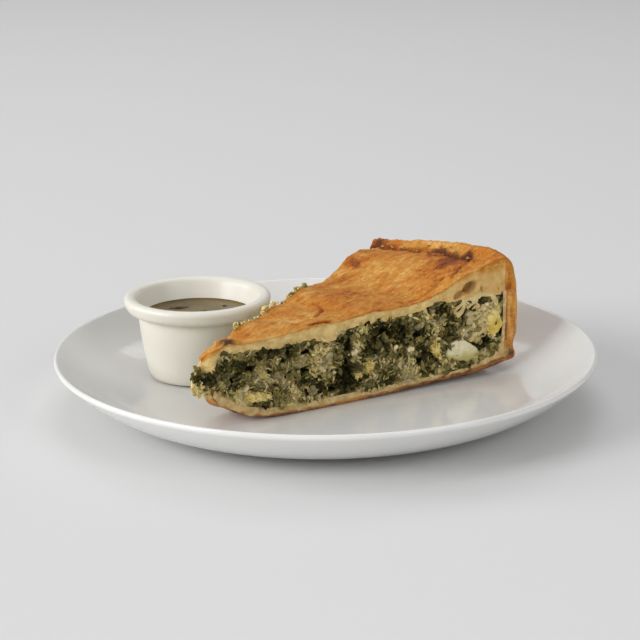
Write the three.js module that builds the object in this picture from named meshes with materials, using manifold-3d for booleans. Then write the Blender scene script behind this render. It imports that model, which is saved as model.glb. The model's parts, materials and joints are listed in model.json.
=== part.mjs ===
// A slice of spinach and egg pie on a coupe plate, with a ramekin of dressing beside it.
// Millimetres, +Z up. The origin is the middle of the plate, on the table that it stands on.
import * as THREE from "three";
import { mergeVertices } from "three/addons/utils/BufferGeometryUtils.js";
import Module from "manifold-3d";

const wasm = await Module();
wasm.setup();

// ---------------------------------------------------------------- driving dimensions

const GAP = 0.3; // air between two pieces that lie against each other

const PLATE_RADIUS = 125;
const PLATE_RIM_TOP = 25.2;
const PLATE_LIP_INNER = 122.8; // where the rolled lip meets the eating side
const PLATE_LIP_DROP = 0.5;
const PLATE_LIP_UNDER = 22.6; // height of the lip's outer lower edge
const WELL_RADIUS = 84; // the flat middle, on which the food stands
const WELL_FLOOR = 5.8;
const WELL_RISE = 1.7; // exponent of the eating side's sweep up to the lip
const FOOT_INNER = 66;
const FOOT_OUTER = 74;
const FOOT_HEIGHT = 2.2;
const BELLY_RISE = 2.4; // exponent of the underside's sweep
const PLATE_SIDES = 64;

const POT_X = -59.9; // the ramekin's axis
const POT_Y = 22.3;
const POT_HEIGHT = 39.2;
const POT_RIM_RADIUS = 34.5;
const POT_MOUTH_RADIUS = 28.6;
const POT_FOOT_RADIUS = 21.4;
const POT_BORE_RADIUS = 19.6; // inner wall near the bottom, where its taper starts
const POT_BORE_START = 8;
const POT_FLOOR = 4.2; // thickness under the dressing
const POT_SIDES = 42;
const DRESSING_LEVEL = 29.9; // above the ramekin's own foot

const CUT_NEAR = 31; // azimuth of the near cut, degrees
const CUT_FAR = 59; // azimuth of the far cut
const TIP_X = -58.6; // where the two cuts would meet
const TIP_Y = -66.0;
const TIP_WIDTH = 4; // how far apart the cuts still are at that point
const CORNER_INSET = 2; // the side crust rounds away from each cut by this much
const CORNER_SPAN = 4;
const SIDE_START = 164; // from here out, a point belongs to the side crust
const SIDE_DEPTH = 9;
const SIDE_RADIUS = 175; // for the length of the side's arc

// ---------------------------------------------------------------- small helpers

const degrees = Math.PI / 180;
const clamp01 = (x) => Math.min(1, Math.max(0, x));
const mix = (a, b, t) => a + (b - a) * t;

function smooth(low, high, x) {
  const t = clamp01((x - low) / (high - low));
  return t * t * (3 - 2 * t);
}

// A smooth height over distance through [distance, height] knots.
function heights(knots) {
  const slope = knots.map((knot, i) => {
    const before = knots[Math.max(0, i - 1)];
    const after = knots[Math.min(knots.length - 1, i + 1)];
    return (after[1] - before[1]) / (after[0] - before[0]);
  });
  return (s) => {
    let i = knots.findIndex((knot) => knot[0] > s) - 1;
    if (i < 0) i = s < knots[0][0] ? 0 : knots.length - 2;
    const [s0, z0] = knots[i];
    const [s1, z1] = knots[i + 1];
    const width = s1 - s0;
    const t = clamp01((s - s0) / width);
    const rise = z0 + (z1 - z0) * t * t * (3 - 2 * t);
    const lean = slope[i] * t * (1 - t) * (1 - t) - slope[i + 1] * t * t * (1 - t);
    return rise + lean * width;
  };
}

// A repeatable number from -1 to 1 for a place in the food.
function crumb(a, b, c) {
  const wave = Math.sin(a * 12.9898 + b * 78.233 + c * 37.719) * 43758.5453;
  return 2 * (wave - Math.floor(wave)) - 1;
}

// Evenly spaced points on a smooth curve through the knots.
function sampled(knots, perSpan) {
  const curve = new THREE.SplineCurve(knots.map(([s, z]) => new THREE.Vector2(s, z)));
  return curve.getPoints((knots.length - 1) * perSpan).map((p) => [p.x, p.y]);
}

// The same line moved sideways, to the left of the way it runs.
function shifted(line, distance) {
  return line.map(([s, z], i) => {
    const [s0, z0] = line[Math.max(0, i - 1)];
    const [s1, z1] = line[Math.min(line.length - 1, i + 1)];
    const length = Math.hypot(s1 - s0, z1 - z0);
    return [s - ((z1 - z0) / length) * distance, z + ((s1 - s0) / length) * distance];
  });
}

function geometryOf(vertices, triangles) {
  const geometry = new THREE.BufferGeometry();
  geometry.setAttribute("position", new THREE.Float32BufferAttribute(vertices, 3));
  geometry.setIndex(triangles);
  return geometry;
}

// ---------------------------------------------------------------- boolean joins

function toSolid(geometry) {
  const bare = geometry.clone();
  bare.deleteAttribute("normal");
  bare.deleteAttribute("uv");
  const merged = mergeVertices(bare, 1e-4);
  const vertProperties = new Float32Array(merged.attributes.position.array);
  const triVerts = new Uint32Array(merged.index.array);
  return new wasm.Manifold(new wasm.Mesh({ numProp: 3, vertProperties, triVerts }));
}

function fromSolid(solid) {
  const mesh = solid.getMesh();
  return geometryOf(Array.from(mesh.vertProperties), Array.from(mesh.triVerts));
}

// ---------------------------------------------------------------- plate and ramekin

function turned(profile, sides) {
  return new THREE.LatheGeometry(
    profile.map(([r, z]) => new THREE.Vector2(r, z)),
    sides,
  ).rotateX(Math.PI / 2);
}

function plateGeometry() {
  const sweep = 8;
  const profile = [[0, FOOT_HEIGHT], [FOOT_INNER - 1.5, FOOT_HEIGHT], [FOOT_INNER, 0], [FOOT_OUTER, 0]];
  const bellyStart = FOOT_OUTER + 2;
  const lipOuter = PLATE_RADIUS - 0.6;
  for (let i = 0; i <= sweep; i += 1) {
    const t = i / sweep;
    const z = FOOT_HEIGHT + (PLATE_LIP_UNDER - FOOT_HEIGHT) * t ** BELLY_RISE;
    profile.push([mix(bellyStart, lipOuter, t), z]);
  }
  profile.push([PLATE_RADIUS, PLATE_RIM_TOP - 1.3]);
  profile.push([PLATE_RADIUS - 0.8, PLATE_RIM_TOP]);
  for (let i = sweep; i >= 0; i -= 1) {
    const t = i / sweep;
    const rise = PLATE_RIM_TOP - PLATE_LIP_DROP - WELL_FLOOR;
    profile.push([mix(WELL_RADIUS, PLATE_LIP_INNER, t), WELL_FLOOR + rise * t ** WELL_RISE]);
  }
  profile.push([0, WELL_FLOOR]);
  return turned(profile, PLATE_SIDES);
}

// Radius of the ramekin's inner wall at a height above its own foot.
function potBore(z) {
  const t = clamp01((z - POT_BORE_START) / (POT_HEIGHT - 2 - POT_BORE_START));
  return mix(POT_BORE_RADIUS, POT_MOUTH_RADIUS, t);
}

function ramekinGeometry() {
  const outside = [
    [0, 0.6], // the foot is hollowed a little
    [POT_FOOT_RADIUS - 4, 0.6],
    [POT_FOOT_RADIUS - 3, 0],
    [POT_FOOT_RADIUS, 0],
    [POT_FOOT_RADIUS + 1.6, 1],
    [24, 3.5],
    [25.7, 12],
    [27.1, 20.6],
    [28.2, 30.6],
    [30.5, 31.5], // underside of the collar
    [32.4, 32.4],
    [33.6, 33.8],
    [POT_RIM_RADIUS - 0.2, 35.8],
    [POT_RIM_RADIUS, POT_HEIGHT - 1.8],
    [POT_RIM_RADIUS - 0.6, POT_HEIGHT - 0.7],
    [32.4, POT_HEIGHT],
    [29.8, POT_HEIGHT - 0.5],
  ];
  const inside = [POT_HEIGHT - 2, 30, 22, 15, POT_BORE_START].map((z) => [potBore(z), z]);
  const floor = [[17.5, POT_FLOOR + 0.9], [15, POT_FLOOR], [0, POT_FLOOR]];
  return turned([...outside, ...inside, ...floor], POT_SIDES);
}

function dressingGeometry() {
  const wall = [9, 15, 22, DRESSING_LEVEL].map((z) => [potBore(z) - GAP, z]);
  const floor = POT_FLOOR + GAP;
  const below = [[0, floor], [14.6, floor], [17.2, POT_FLOOR + 1.4]];
  return turned([...below, ...wall, [0, DRESSING_LEVEL]], POT_SIDES);
}

// ---------------------------------------------------------------- the slice's own coordinates

// s runs out from the point where the cuts would meet, v from the near cut (0) to the far one (1).
function place(s, v, z) {
  const azimuth = mix(CUT_NEAR, CUT_FAR, v) * degrees;
  const across = ((CUT_NEAR + CUT_FAR) / 2 + 90) * degrees;
  return [
    TIP_X + s * Math.cos(azimuth) + TIP_WIDTH * v * Math.cos(across),
    TIP_Y + s * Math.sin(azimuth) + TIP_WIDTH * v * Math.sin(across),
    z,
  ];
}

// A layer of the slice: columns run along it, each giving its lower and upper [s, z] at v.
// relief moves the two cut faces in and out.
function layer(columns, across, courses, relief) {
  const [nu, nv, nw] = [columns.length - 1, across.length - 1, courses];
  const index = new Map();
  const vertices = [];
  const vertex = (i, j, k) => {
    const key = (i * (nv + 1) + j) * (nw + 1) + k;
    if (index.has(key)) return index.get(key);
    const v = across[j];
    const [lower, upper] = columns[i](v);
    const s = mix(lower[0], upper[0], k / nw);
    const z = mix(lower[1], upper[1], k / nw);
    const point = place(s, v, z);
    const inner = i > 0 && i < nu && k > 0 && k < nw;
    if (relief && inner && (j === 0 || j === nv)) {
      const azimuth = (j === 0 ? CUT_NEAR - 90 : CUT_FAR + 90) * degrees;
      const depth = relief * crumb(i, j, k);
      point[0] += depth * Math.cos(azimuth);
      point[1] += depth * Math.sin(azimuth);
    }
    index.set(key, vertices.length / 3);
    vertices.push(...point);
    return index.get(key);
  };
  const triangles = [];
  const face = (a, b, c, d) => triangles.push(a, b, c, a, c, d);
  for (let i = 0; i < nu; i += 1) {
    for (let j = 0; j < nv; j += 1) {
      face(vertex(i, j, nw), vertex(i + 1, j, nw), vertex(i + 1, j + 1, nw), vertex(i, j + 1, nw));
      face(vertex(i, j, 0), vertex(i, j + 1, 0), vertex(i + 1, j + 1, 0), vertex(i + 1, j, 0));
    }
    for (let k = 0; k < nw; k += 1) {
      face(vertex(i, 0, k), vertex(i + 1, 0, k), vertex(i + 1, 0, k + 1), vertex(i, 0, k + 1));
      face(vertex(i, nv, k), vertex(i, nv, k + 1), vertex(i + 1, nv, k + 1), vertex(i + 1, nv, k));
    }
  }
  for (let j = 0; j < nv; j += 1) {
    for (let k = 0; k < nw; k += 1) {
      face(vertex(0, j, k), vertex(0, j, k + 1), vertex(0, j + 1, k + 1), vertex(0, j + 1, k));
      face(vertex(nu, j, k), vertex(nu, j + 1, k), vertex(nu, j + 1, k + 1), vertex(nu, j, k + 1));
    }
  }
  return geometryOf(vertices, triangles);
}

// How far the side crust stands back from its full radius near a cut.
function cornerInset(v) {
  const arc = (CUT_FAR - CUT_NEAR) * degrees * SIDE_RADIUS;
  const round = (distance) => 1 - Math.sqrt(1 - (1 - clamp01(distance / CORNER_SPAN)) ** 2);
  return CORNER_INSET * (round(v * arc) + round((1 - v) * arc));
}

const sideShare = (s) => clamp01((s - SIDE_START) / SIDE_DEPTH);

// ---------------------------------------------------------------- bottom and side crust

const SEAM = 45.8; // top of the side crust, where the lid's rim lies on it

// The crust's outer skin from the tip along the underside and up the side.
const CRUST_OUTER = [
  [10.5, 20.6], [14, 17.2], [19, 13.9], [26, 10.4], [34, 7.9], [45, 6.5], [60, 6.15], [92, 6.25],
  [131, 7.5], [148, 8.4], [160, 10.2], [167, 11.7], [174, 12.6], [174.8, 14.8], [173.6, 18.8], [175, 24],
  [175.8, 32], [175.8, 40], [175.2, SEAM],
];
const CRUST_INNER = [
  [12, 23.6], [15, 22.4], [20.5, 17.6], [27, 14], [35, 11.9], [45, 10.4], [60, 10.2], [92, 10.6],
  [131, 10.9], [146, 12], [155, 14], [161, 17], [163.4, 18.6], [164.6, 21], [165.3, 23.5], [165.8, 26.5],
  [166.3, 32], [166.3, 40], [166.2, SEAM],
];

const acrossCrust = [0, 0.012, 0.03, 0.056, 0.13, 0.25, 0.4, 0.55, 0.7, 0.85, 0.945, 0.98, 1];

function baseCrustGeometry() {
  const outer = sampled(CRUST_OUTER, 2);
  const inner = sampled(CRUST_INNER, 2);
  const columns = outer.map(([s, z], i) => (v) => [[s - cornerInset(v) * sideShare(s), z], inner[i]]);
  return layer(columns, acrossCrust, 1, 0);
}

// ---------------------------------------------------------------- lid

const lidNear = heights([
  [3.5, 36.9], [5, 39.2], [8, 40.5], [13, 41.8], [21, 43.6], [30, 42.8], [45, 43], [60, 44.3], [82, 45.5],
  [108, 46.9], [121, 47.8], [131, 50.8], [142, 55.2], [152, 58.2], [161, 59.8], [166, 60.2], [170.5, 58.2],
  [173.6, 54.2], [175.2, 48],
]);
const lidFar = heights([
  [3.5, 35.8], [5.5, 37.3], [20, 39], [34, 40.2], [45, 43.2], [57, 42.8], [70, 45], [79, 44.6], [90, 47.4],
  [98, 47.8], [108, 46.4], [120, 47], [130, 48.8], [136, 51.2], [144, 53.2], [152, 53.7], [160, 52.5],
  [163.5, 52.8], [167, 55.2], [170.5, 55], [173.6, 52], [175.2, 48],
]);
const lidUnder = heights([
  [3.5, 34.4], [5, 32.8], [7, 32.2], [12.6, 32], [14.8, 38], [20, 39.3], [26, 39], [33, 39.4], [45, 37.4],
  [58, 38.3], [71, 36.4], [80, 40.6], [95, 41.6], [108, 42.2], [120, 43.6], [131, 45.6], [142, 45.4],
  [152, 44.9], [165, 44.4],
]);
const RIM_CREST = 3.8; // how far the rim's crest stands above the lid between the cuts
const FOLD_EDGE = 165; // inner edge of the dough folded over from the side
const FOLD_REACH = 38; // the fold widens by this much at the near cut
const FOLD_CORNER = 0.28; // share of the width in which it does so
const FOLD_HEIGHT = 1.4;

const foldEdge = (v) => FOLD_EDGE - FOLD_REACH * (1 - clamp01(v / FOLD_CORNER)) ** 1.5;

function lidTop(s, v) {
  const rim = smooth(158, 167.5, s) * (1 - smooth(170.5, 175, s));
  const rimLift = rim * smooth(0, 0.15, v) * RIM_CREST * (1 - v * v);
  const crown = 0.9 * Math.sin(Math.PI * v) * smooth(5, 40, s) * (1 - smooth(150, 165, s));
  const ridge = FOLD_HEIGHT * Math.exp(-(((s - foldEdge(v)) / 2.6) ** 2)) * smooth(0, 0.06, v);
  const blister = 0.35 * Math.sin(s / 4.1 + 3 * v) * Math.sin((s * v) / 9 + 1) * smooth(20, 40, s);
  return mix(lidNear(s), lidFar(s), v) + rimLift + crown + ridge + blister;
}

function lidBottom(s, v) {
  if (s > 165.2) return SEAM + GAP;
  const lean = Math.min(4, Math.max(0, lidNear(s) - lidFar(s))) * (1 - smooth(150, 165, s));
  return lidUnder(s) - lean * v;
}

const LID_STATIONS = [
  3.5, 4.3, 6, 9, 12.6, 14.8, 18, 22, 27, 33, 39, 45, 51, 58, 65, 71, 81, 88, 95, 108, 114, 120, 126, 131,
  136, 141, 146, 151, 156, 160, 162.5, 165, 165.6, 167.5, 169.8, 172, 173.6, 175.2,
];
const acrossLid = [0, 0.012, 0.03, 0.056, 0.12, 0.2, 0.3, 0.4, 0.5, 0.6, 0.7, 0.8, 0.89, 0.945, 0.98, 1];

function lidGeometry() {
  const columns = LID_STATIONS.map((s) => (v) => {
    const inset = cornerInset(v) * sideShare(s);
    return [[s - inset, lidBottom(s, v)], [s - inset, lidTop(s, v)]];
  });
  return layer(columns, acrossLid, 1, 0);
}

// ---------------------------------------------------------------- filling

const CRAG = 0.8; // how far the torn cut faces stand in and out
const FILLING_TIP = [[1.5, 27.4], [3.5, 25], [4.3, 24.2], [6, 22.8], [9, 22], [9.9, 24.4]];
const WALL_FACE = 165.4; // where the filling ends against the side crust
const HEEL_START = 158; // from here the floor turns up into the side
const acrossFilling = [0, 0.12, 0.25, 0.38, 0.5, 0.62, 0.75, 0.88, 1];
const FILLING_COURSES = 7;

function fillingGeometry() {
  const floor = shifted(sampled(CRUST_INNER, 2), GAP + 0.05).filter(([s]) => s < WALL_FACE);
  const floorAt = (s) => {
    const i = Math.max(1, floor.findIndex((point) => point[0] >= s));
    const [[s0, z0], [s1, z1]] = [floor[i - 1], floor[i]];
    return mix(z0, z1, (s - s0) / (s1 - s0));
  };
  const stations = LID_STATIONS.filter((s) => s > floor[0][0] && s < HEEL_START).map((s) => [s, floorAt(s)]);
  const heel = floor.filter(([s]) => s > HEEL_START);
  const line = [...FILLING_TIP, ...stations, ...heel];
  const columns = line.map(([s, z]) => (v) => [[s, z], [s, lidBottom(Math.min(s, 165), v) - GAP - 0.05]]);
  return layer(columns, acrossFilling, FILLING_COURSES, CRAG);
}

// ---------------------------------------------------------------- chopped egg that shows at the cuts

const EGG_PROUD = 0.7; // a piece of egg stands this far out of the cut

// s and z of the middle, half width, half height, depth into the filling, tilt in degrees, and cut.
const EGG_PIECES = [
  { name: "egg_white_1", s: 143.6, z: 20.4, wide: 8.8, high: 5, deep: 7, tilt: -20, far: false },
  { name: "egg_white_2", s: 74, z: 25, wide: 7.5, high: 5, deep: 6, tilt: 15, far: true },
  { name: "egg_yolk_1", s: 128.4, z: 23, wide: 2.8, high: 4.4, deep: 5, tilt: 25, far: false },
  { name: "egg_yolk_2", s: 160.4, z: 31.4, wide: 3.9, high: 6, deep: 6, tilt: 8, far: false },
  { name: "egg_yolk_3", s: 33.6, z: 17.4, wide: 6.8, high: 2.5, deep: 4, tilt: -8, far: false },
  { name: "egg_yolk_4", s: 91, z: 21.4, wide: 3, high: 2.8, deep: 4, tilt: 0, far: false },
  { name: "egg_yolk_5", s: 92, z: 22, wide: 4.4, high: 4, deep: 5, tilt: 20, far: true },
  { name: "egg_yolk_6", s: 136, z: 31, wide: 5, high: 4, deep: 6, tilt: -30, far: true },
];

// A lump whose middle lies under the cut; grown makes the pocket that it sits in.
function eggLump(piece, grown) {
  const lump = new THREE.IcosahedronGeometry(1, 1);
  lump.scale(piece.wide + grown, piece.deep + grown, piece.high + grown);
  lump.rotateY(-piece.tilt * degrees);
  return onCut(lump, piece);
}

// Moves a shape made at the origin, with +Y into the food, to its place on its cut.
function onCut(geometry, piece) {
  const azimuth = piece.far ? CUT_FAR : CUT_NEAR;
  const [x, y, z] = place(piece.s, piece.far ? 1 : 0, piece.z);
  if (piece.far) geometry.rotateZ(Math.PI);
  geometry.rotateZ(azimuth * degrees);
  return geometry.translate(x, y, z);
}

function eggSolid(piece) {
  const reach = 30;
  const food = new THREE.BoxGeometry(2 * reach, reach, 2 * reach).translate(0, reach / 2 - EGG_PROUD, 0);
  return toSolid(eggLump(piece, 0)).intersect(toSolid(onCut(food, piece)));
}

// ---------------------------------------------------------------- the object

const glazed = (color) => new THREE.MeshStandardMaterial({ color, roughness: 0.12, metalness: 0 });
const baked = (color) => new THREE.MeshStandardMaterial({ color, roughness: 0.6, metalness: 0 });

const model = new THREE.Group();

function add(parent, name, geometry, material) {
  const mesh = new THREE.Mesh(geometry, material);
  mesh.name = name;
  parent.add(mesh);
}

add(model, "plate", plateGeometry(), glazed("#f2f1ee"));

const pot = new THREE.Group();
pot.position.set(POT_X, POT_Y, WELL_FLOOR + GAP);
add(pot, "ramekin", ramekinGeometry(), glazed("#efece2"));
add(pot, "dressing", dressingGeometry(), glazed("#7d7248"));
model.add(pot);

const slice = new THREE.Group();
add(slice, "crust_base", baseCrustGeometry(), baked("#d8a763"));
add(slice, "crust_lid", lidGeometry(), baked("#d38b3d"));
let filling = toSolid(fillingGeometry());
for (const piece of EGG_PIECES) {
  filling = filling.subtract(toSolid(eggLump(piece, GAP)));
  const color = piece.name.startsWith("egg_white") ? "#e6e2c4" : "#e3c65a";
  add(slice, piece.name, fromSolid(eggSolid(piece)), baked(color));
}
add(slice, "filling", fromSolid(filling), baked("#3d4a2c"));
model.add(slice);

export default model;
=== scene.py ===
"""Plated slice of spinach and egg pie with a ramekin of dressing: its shapes, finishes and table."""

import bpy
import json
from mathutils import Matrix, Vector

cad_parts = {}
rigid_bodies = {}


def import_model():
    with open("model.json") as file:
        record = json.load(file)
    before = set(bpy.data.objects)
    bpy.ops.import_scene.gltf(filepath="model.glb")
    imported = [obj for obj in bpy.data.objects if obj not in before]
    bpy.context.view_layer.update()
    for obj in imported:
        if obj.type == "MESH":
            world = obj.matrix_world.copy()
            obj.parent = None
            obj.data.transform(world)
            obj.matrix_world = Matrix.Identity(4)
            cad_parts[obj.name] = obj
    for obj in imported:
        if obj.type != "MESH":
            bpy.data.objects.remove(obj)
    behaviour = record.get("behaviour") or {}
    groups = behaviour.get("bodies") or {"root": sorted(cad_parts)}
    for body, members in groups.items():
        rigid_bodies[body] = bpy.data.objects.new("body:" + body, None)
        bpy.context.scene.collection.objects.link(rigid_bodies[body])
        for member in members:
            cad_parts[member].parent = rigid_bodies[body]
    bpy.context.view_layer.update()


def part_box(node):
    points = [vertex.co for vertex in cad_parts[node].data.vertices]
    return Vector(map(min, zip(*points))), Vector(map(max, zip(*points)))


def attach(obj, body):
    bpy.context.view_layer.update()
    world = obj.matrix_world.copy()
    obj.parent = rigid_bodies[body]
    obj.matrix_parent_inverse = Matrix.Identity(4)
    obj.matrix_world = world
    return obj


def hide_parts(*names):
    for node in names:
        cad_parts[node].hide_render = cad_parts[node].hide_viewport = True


bl_info = {
    "name": "Plated Pie Slice",
    "version": (1, 0, 0),
    "blender": (4, 5, 0),
    "location": "View3D > Sidebar > Pie Slice",
    "description": "Builds a plated slice of spinach and egg pie with a ramekin of dressing",
    "category": "Object",
}

import json
import math

import bmesh
import bpy
import numpy as np
from bpy.props import FloatProperty, FloatVectorProperty, IntProperty, PointerProperty
from mathutils import Matrix, Vector

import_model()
MM = 0.001

# ------------------------------------------------------------------ numbers and noise


def smooth(low, high, x):
    t = np.clip((np.asarray(x, float) - low) / (high - low), 0, 1)
    return t * t * (3 - 2 * t)


def mix(a, b, t):
    return a + (b - a) * t


def heights(knots):
    """A smooth height over distance through (distance, height) knots."""
    k = np.array(knots, float)
    before = np.maximum(np.arange(len(k)) - 1, 0)
    after = np.minimum(np.arange(len(k)) + 1, len(k) - 1)
    slope = (k[after, 1] - k[before, 1]) / (k[after, 0] - k[before, 0])

    def height(s):
        s = np.asarray(s, float)
        i = np.clip(np.searchsorted(k[:, 0], s, side="right") - 1, 0, len(k) - 2)
        width = k[i + 1, 0] - k[i, 0]
        t = np.clip((s - k[i, 0]) / width, 0, 1)
        rise = k[i, 1] + (k[i + 1, 1] - k[i, 1]) * t * t * (3 - 2 * t)
        lean = slope[i] * t * (1 - t) ** 2 - slope[i + 1] * t * t * (1 - t)
        return rise + lean * width

    return height


def lattice(cell, seed):
    """A repeatable number from 0 to 1 for each whole-numbered cell."""
    x, y, z = (cell[..., a].astype(np.int64) for a in range(3))
    h = (x * 374761393 + y * 668265263 + z * 1440662683 + seed * 974634777) & 0xFFFFFFFF
    h = ((h ^ (h >> 13)) * 1274126177) & 0xFFFFFFFF
    h = ((h ^ (h >> 15)) * 2246822519) & 0xFFFFFFFF
    return ((h ^ (h >> 16)) & 0xFFFFF) / 0xFFFFF


def grain(points, size, seed=0):
    """Smooth noise from -1 to 1 whose lumps are about size across."""
    q = np.asarray(points, float) / size
    base = np.floor(q)
    f = q - base
    f = f * f * (3 - 2 * f)
    total = 0.0
    for corner in np.ndindex(2, 2, 2):
        weight = 1.0
        for axis in range(3):
            weight = weight * (f[..., axis] if corner[axis] else 1 - f[..., axis])
        total = total + weight * lattice(base + np.array(corner), seed)
    return 2 * total - 1


def wobble(points, size, *seeds):
    """Grain for each axis, from a seed for each. No seed leaves an axis still."""
    still = 0 * points[:, 0]
    return np.column_stack([still if seed is None else grain(points, size, seed) for seed in seeds])


def rough(points, size, seed=0, octaves=3):
    """Several sizes of grain on top of each other, from about -1 to 1."""
    total, share, most = 0.0, 1.0, 0.0
    for octave in range(octaves):
        total = total + share * grain(points, size / 2**octave, seed + 31 * octave)
        most += share
        share *= 0.5
    return total / most * 1.3


def cells(points, size, seed=0):
    """Distance to the nearest of scattered points about size apart, in sizes."""
    q = np.asarray(points, float) / size
    base = np.floor(q)
    nearest = np.full(q.shape[:-1], 9.0)
    for step in np.ndindex(3, 3, 3):
        cell = base + np.array(step) - 1
        jitter = np.stack([lattice(cell, seed + 7 * a) for a in range(3)], -1)
        nearest = np.minimum(nearest, np.linalg.norm(q - cell - jitter, axis=-1))
    return nearest


# ------------------------------------------------------------------ meshes


SHARP_ANGLE = math.radians(58)


def soften(mesh):
    """Smooth faces, with the edges of cuts and rims left sharp."""
    mesh.polygons.foreach_set("use_smooth", [True] * len(mesh.polygons))
    mesh.set_sharp_from_angle(angle=SHARP_ANGLE)
    mesh.update()


def new_mesh(name, points, faces):
    mesh = bpy.data.meshes.new(name)
    mesh.from_pydata(np.asarray(points).tolist(), [], [list(map(int, f)) for f in faces])
    return mesh


def shown(name, data):
    """A mesh, light or camera as an object in the scene."""
    piece = bpy.data.objects.new(name, data)
    bpy.context.scene.collection.objects.link(piece)
    return piece


def mesh_piece(name, points, faces, material, attributes=None):
    """A mesh from points in millimetres. Attributes are floats, one for each point."""
    mesh = new_mesh(name, np.asarray(points) * MM, faces)
    for key, values in (attributes or {}).items():
        layer_data = mesh.attributes.new(key, "FLOAT", "POINT")
        layer_data.data.foreach_set("value", np.asarray(values, np.float32))
    soften(mesh)
    if material:
        mesh.materials.append(material)
    return shown(name, mesh)


def join_parts(parts):
    """Points, faces and attributes of several (points, faces, attributes) as one."""
    points, faces, attributes, start = [], [], {}, 0
    for part_points, part_faces, part_attributes in parts:
        points.append(part_points)
        faces += [[int(i) + start for i in face] for face in part_faces]
        for key, values in part_attributes.items():
            attributes.setdefault(key, []).append(np.broadcast_to(values, len(part_points)))
        start += len(part_points)
    return np.concatenate(points), faces, {k: np.concatenate(v) for k, v in attributes.items()}


def belongs(piece, slot, *nodes):
    """Let a piece ride on the one body, in place of the nodes it stands for. The slot is not used."""
    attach(piece, "root")
    if nodes:
        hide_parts(*nodes)
    return piece


def turned(name, profile, sides, centre, material):
    """A closed lathe. The profile runs from the axis, round the outside, back to the axis."""
    ring = np.radians(np.arange(sides) * 360.0 / sides)
    inner = profile[1:-1]
    points = [[0, 0, profile[0][1]], [0, 0, profile[-1][1]]]
    for r, z in inner:
        points += [[r * math.cos(a), r * math.sin(a), z] for a in ring]

    def index(row, a):
        return 2 + row * sides + a % sides

    faces = []
    last = len(inner) - 1
    for a in range(sides):
        faces.append([0, index(0, a + 1), index(0, a)])
        faces.append([1, index(last, a), index(last, a + 1)])
        for row in range(last):
            faces.append([index(row, a), index(row, a + 1), index(row + 1, a + 1), index(row + 1, a)])
    return mesh_piece(name, np.array(points) + np.array(centre), faces, material)


def spline(before, start, end, after, t):
    """A point on the smooth line from start to end, t of the way."""
    bend = (2 * before - 5 * start + 4 * end - after) * t**2
    return 0.5 * (2 * start + (end - before) * t + bend + (3 * start - before - 3 * end + after) * t**3)


def rounded(knots, steps=6):
    """More points on a smooth open line through the knots."""
    k = np.array(knots, float)
    padded = np.vstack([2 * k[0] - k[1], k, 2 * k[-1] - k[-2]])
    line = []
    for i in range(1, len(padded) - 2):
        line += [list(spline(*padded[i - 1 : i + 3], t)) for t in np.arange(steps) / steps]
    return line + [list(k[-1])]


def closed_line(knots, steps=6):
    """A smooth closed line through the knots."""
    k = np.asarray(knots, float)
    t = np.linspace(0, 1, steps, endpoint=False)[:, None]
    stretches = zip(np.roll(k, 1, 0), k, np.roll(k, -1, 0), np.roll(k, -2, 0))
    return np.concatenate([spline(*four, t) for four in stretches])


def tube(path, radii, sides=7, squash=1.0, flat_axis=(0, 0, 1)):
    """A closed tapered tube along a path, flattened along one axis."""
    path = np.asarray(path, float)
    heading = np.gradient(path, axis=0)
    heading /= np.linalg.norm(heading, axis=1, keepdims=True)
    thin = np.array(flat_axis, float) - heading * (heading @ np.array(flat_axis, float))[:, None]
    thin /= np.linalg.norm(thin, axis=1, keepdims=True)
    wide = np.cross(heading, thin)
    angles = np.arange(sides) * 2 * math.pi / sides
    points = [path[0] - heading[0] * radii[0] * 0.5]
    for p, w, t, radius in zip(path, wide, thin, radii):
        points += [p + radius * (math.cos(a) * w + squash * math.sin(a) * t) for a in angles]
    points.append(path[-1] + heading[-1] * radii[-1] * 0.5)
    faces = []
    for a in range(sides):
        b = (a + 1) % sides
        faces.append([0, 1 + b, 1 + a])
        for row in range(len(path) - 1):
            low, high = 1 + row * sides, 1 + (row + 1) * sides
            faces.append([low + a, low + b, high + b, high + a])
        top = 1 + (len(path) - 1) * sides
        faces.append([top + a, top + b, len(points) - 1])
    return np.array(points), faces


def thin_sheet(x, y, z, half):
    """A closed thin sheet, from grids of its middle and of half its thickness."""
    across, along = x.shape[0] - 1, x.shape[1] - 1
    row = along + 1
    upper = np.stack([x, y, z + half], -1).reshape(-1, 3)
    lower = np.stack([x, y, z - half], -1).reshape(-1, 3)
    faces = []
    for m in range(across):
        for n in range(along):
            quad = [m * row + n, (m + 1) * row + n, (m + 1) * row + n + 1, m * row + n + 1]
            faces += [quad, [len(upper) + p for p in quad[::-1]]]
    rim = [m * row for m in range(across + 1)] + [across * row + n for n in range(1, along + 1)]
    rim += [m * row + along for m in range(across - 1, -1, -1)] + list(range(along - 1, 0, -1))
    faces += [[p, len(upper) + p, len(upper) + q, q] for p, q in zip(rim, rim[1:] + rim[:1])]
    return np.concatenate([upper, lower]), faces


def sheet_grid(across, along):
    """Two grids that run from -1 to 1 over a thin sheet."""
    return np.meshgrid(np.linspace(-1, 1, across + 1), np.linspace(-1, 1, along + 1), indexing="ij")


def grid_quads(grid, turn):
    """Faces between the neighbours of a grid of point numbers."""
    q = np.stack([grid[:-1, :-1], grid[1:, :-1], grid[1:, 1:], grid[:-1, 1:]], -1).reshape(-1, 4)
    return q[:, ::-1] if turn else q


def blob(radii, seed, lumps=0.15, detail=2):
    """A closed uneven lump round the origin."""
    ball = bmesh.new()
    bmesh.ops.create_icosphere(ball, subdivisions=detail, radius=1.0)
    points = np.array([v.co for v in ball.verts])
    faces = [[v.index for v in f.verts] for f in ball.faces]
    ball.free()
    swell = 1 + lumps * rough(points + 10 * seed, 0.9, seed)
    return points * swell[:, None] * np.array(radii), faces


# ------------------------------------------------------------------ the slice's own coordinates

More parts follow.
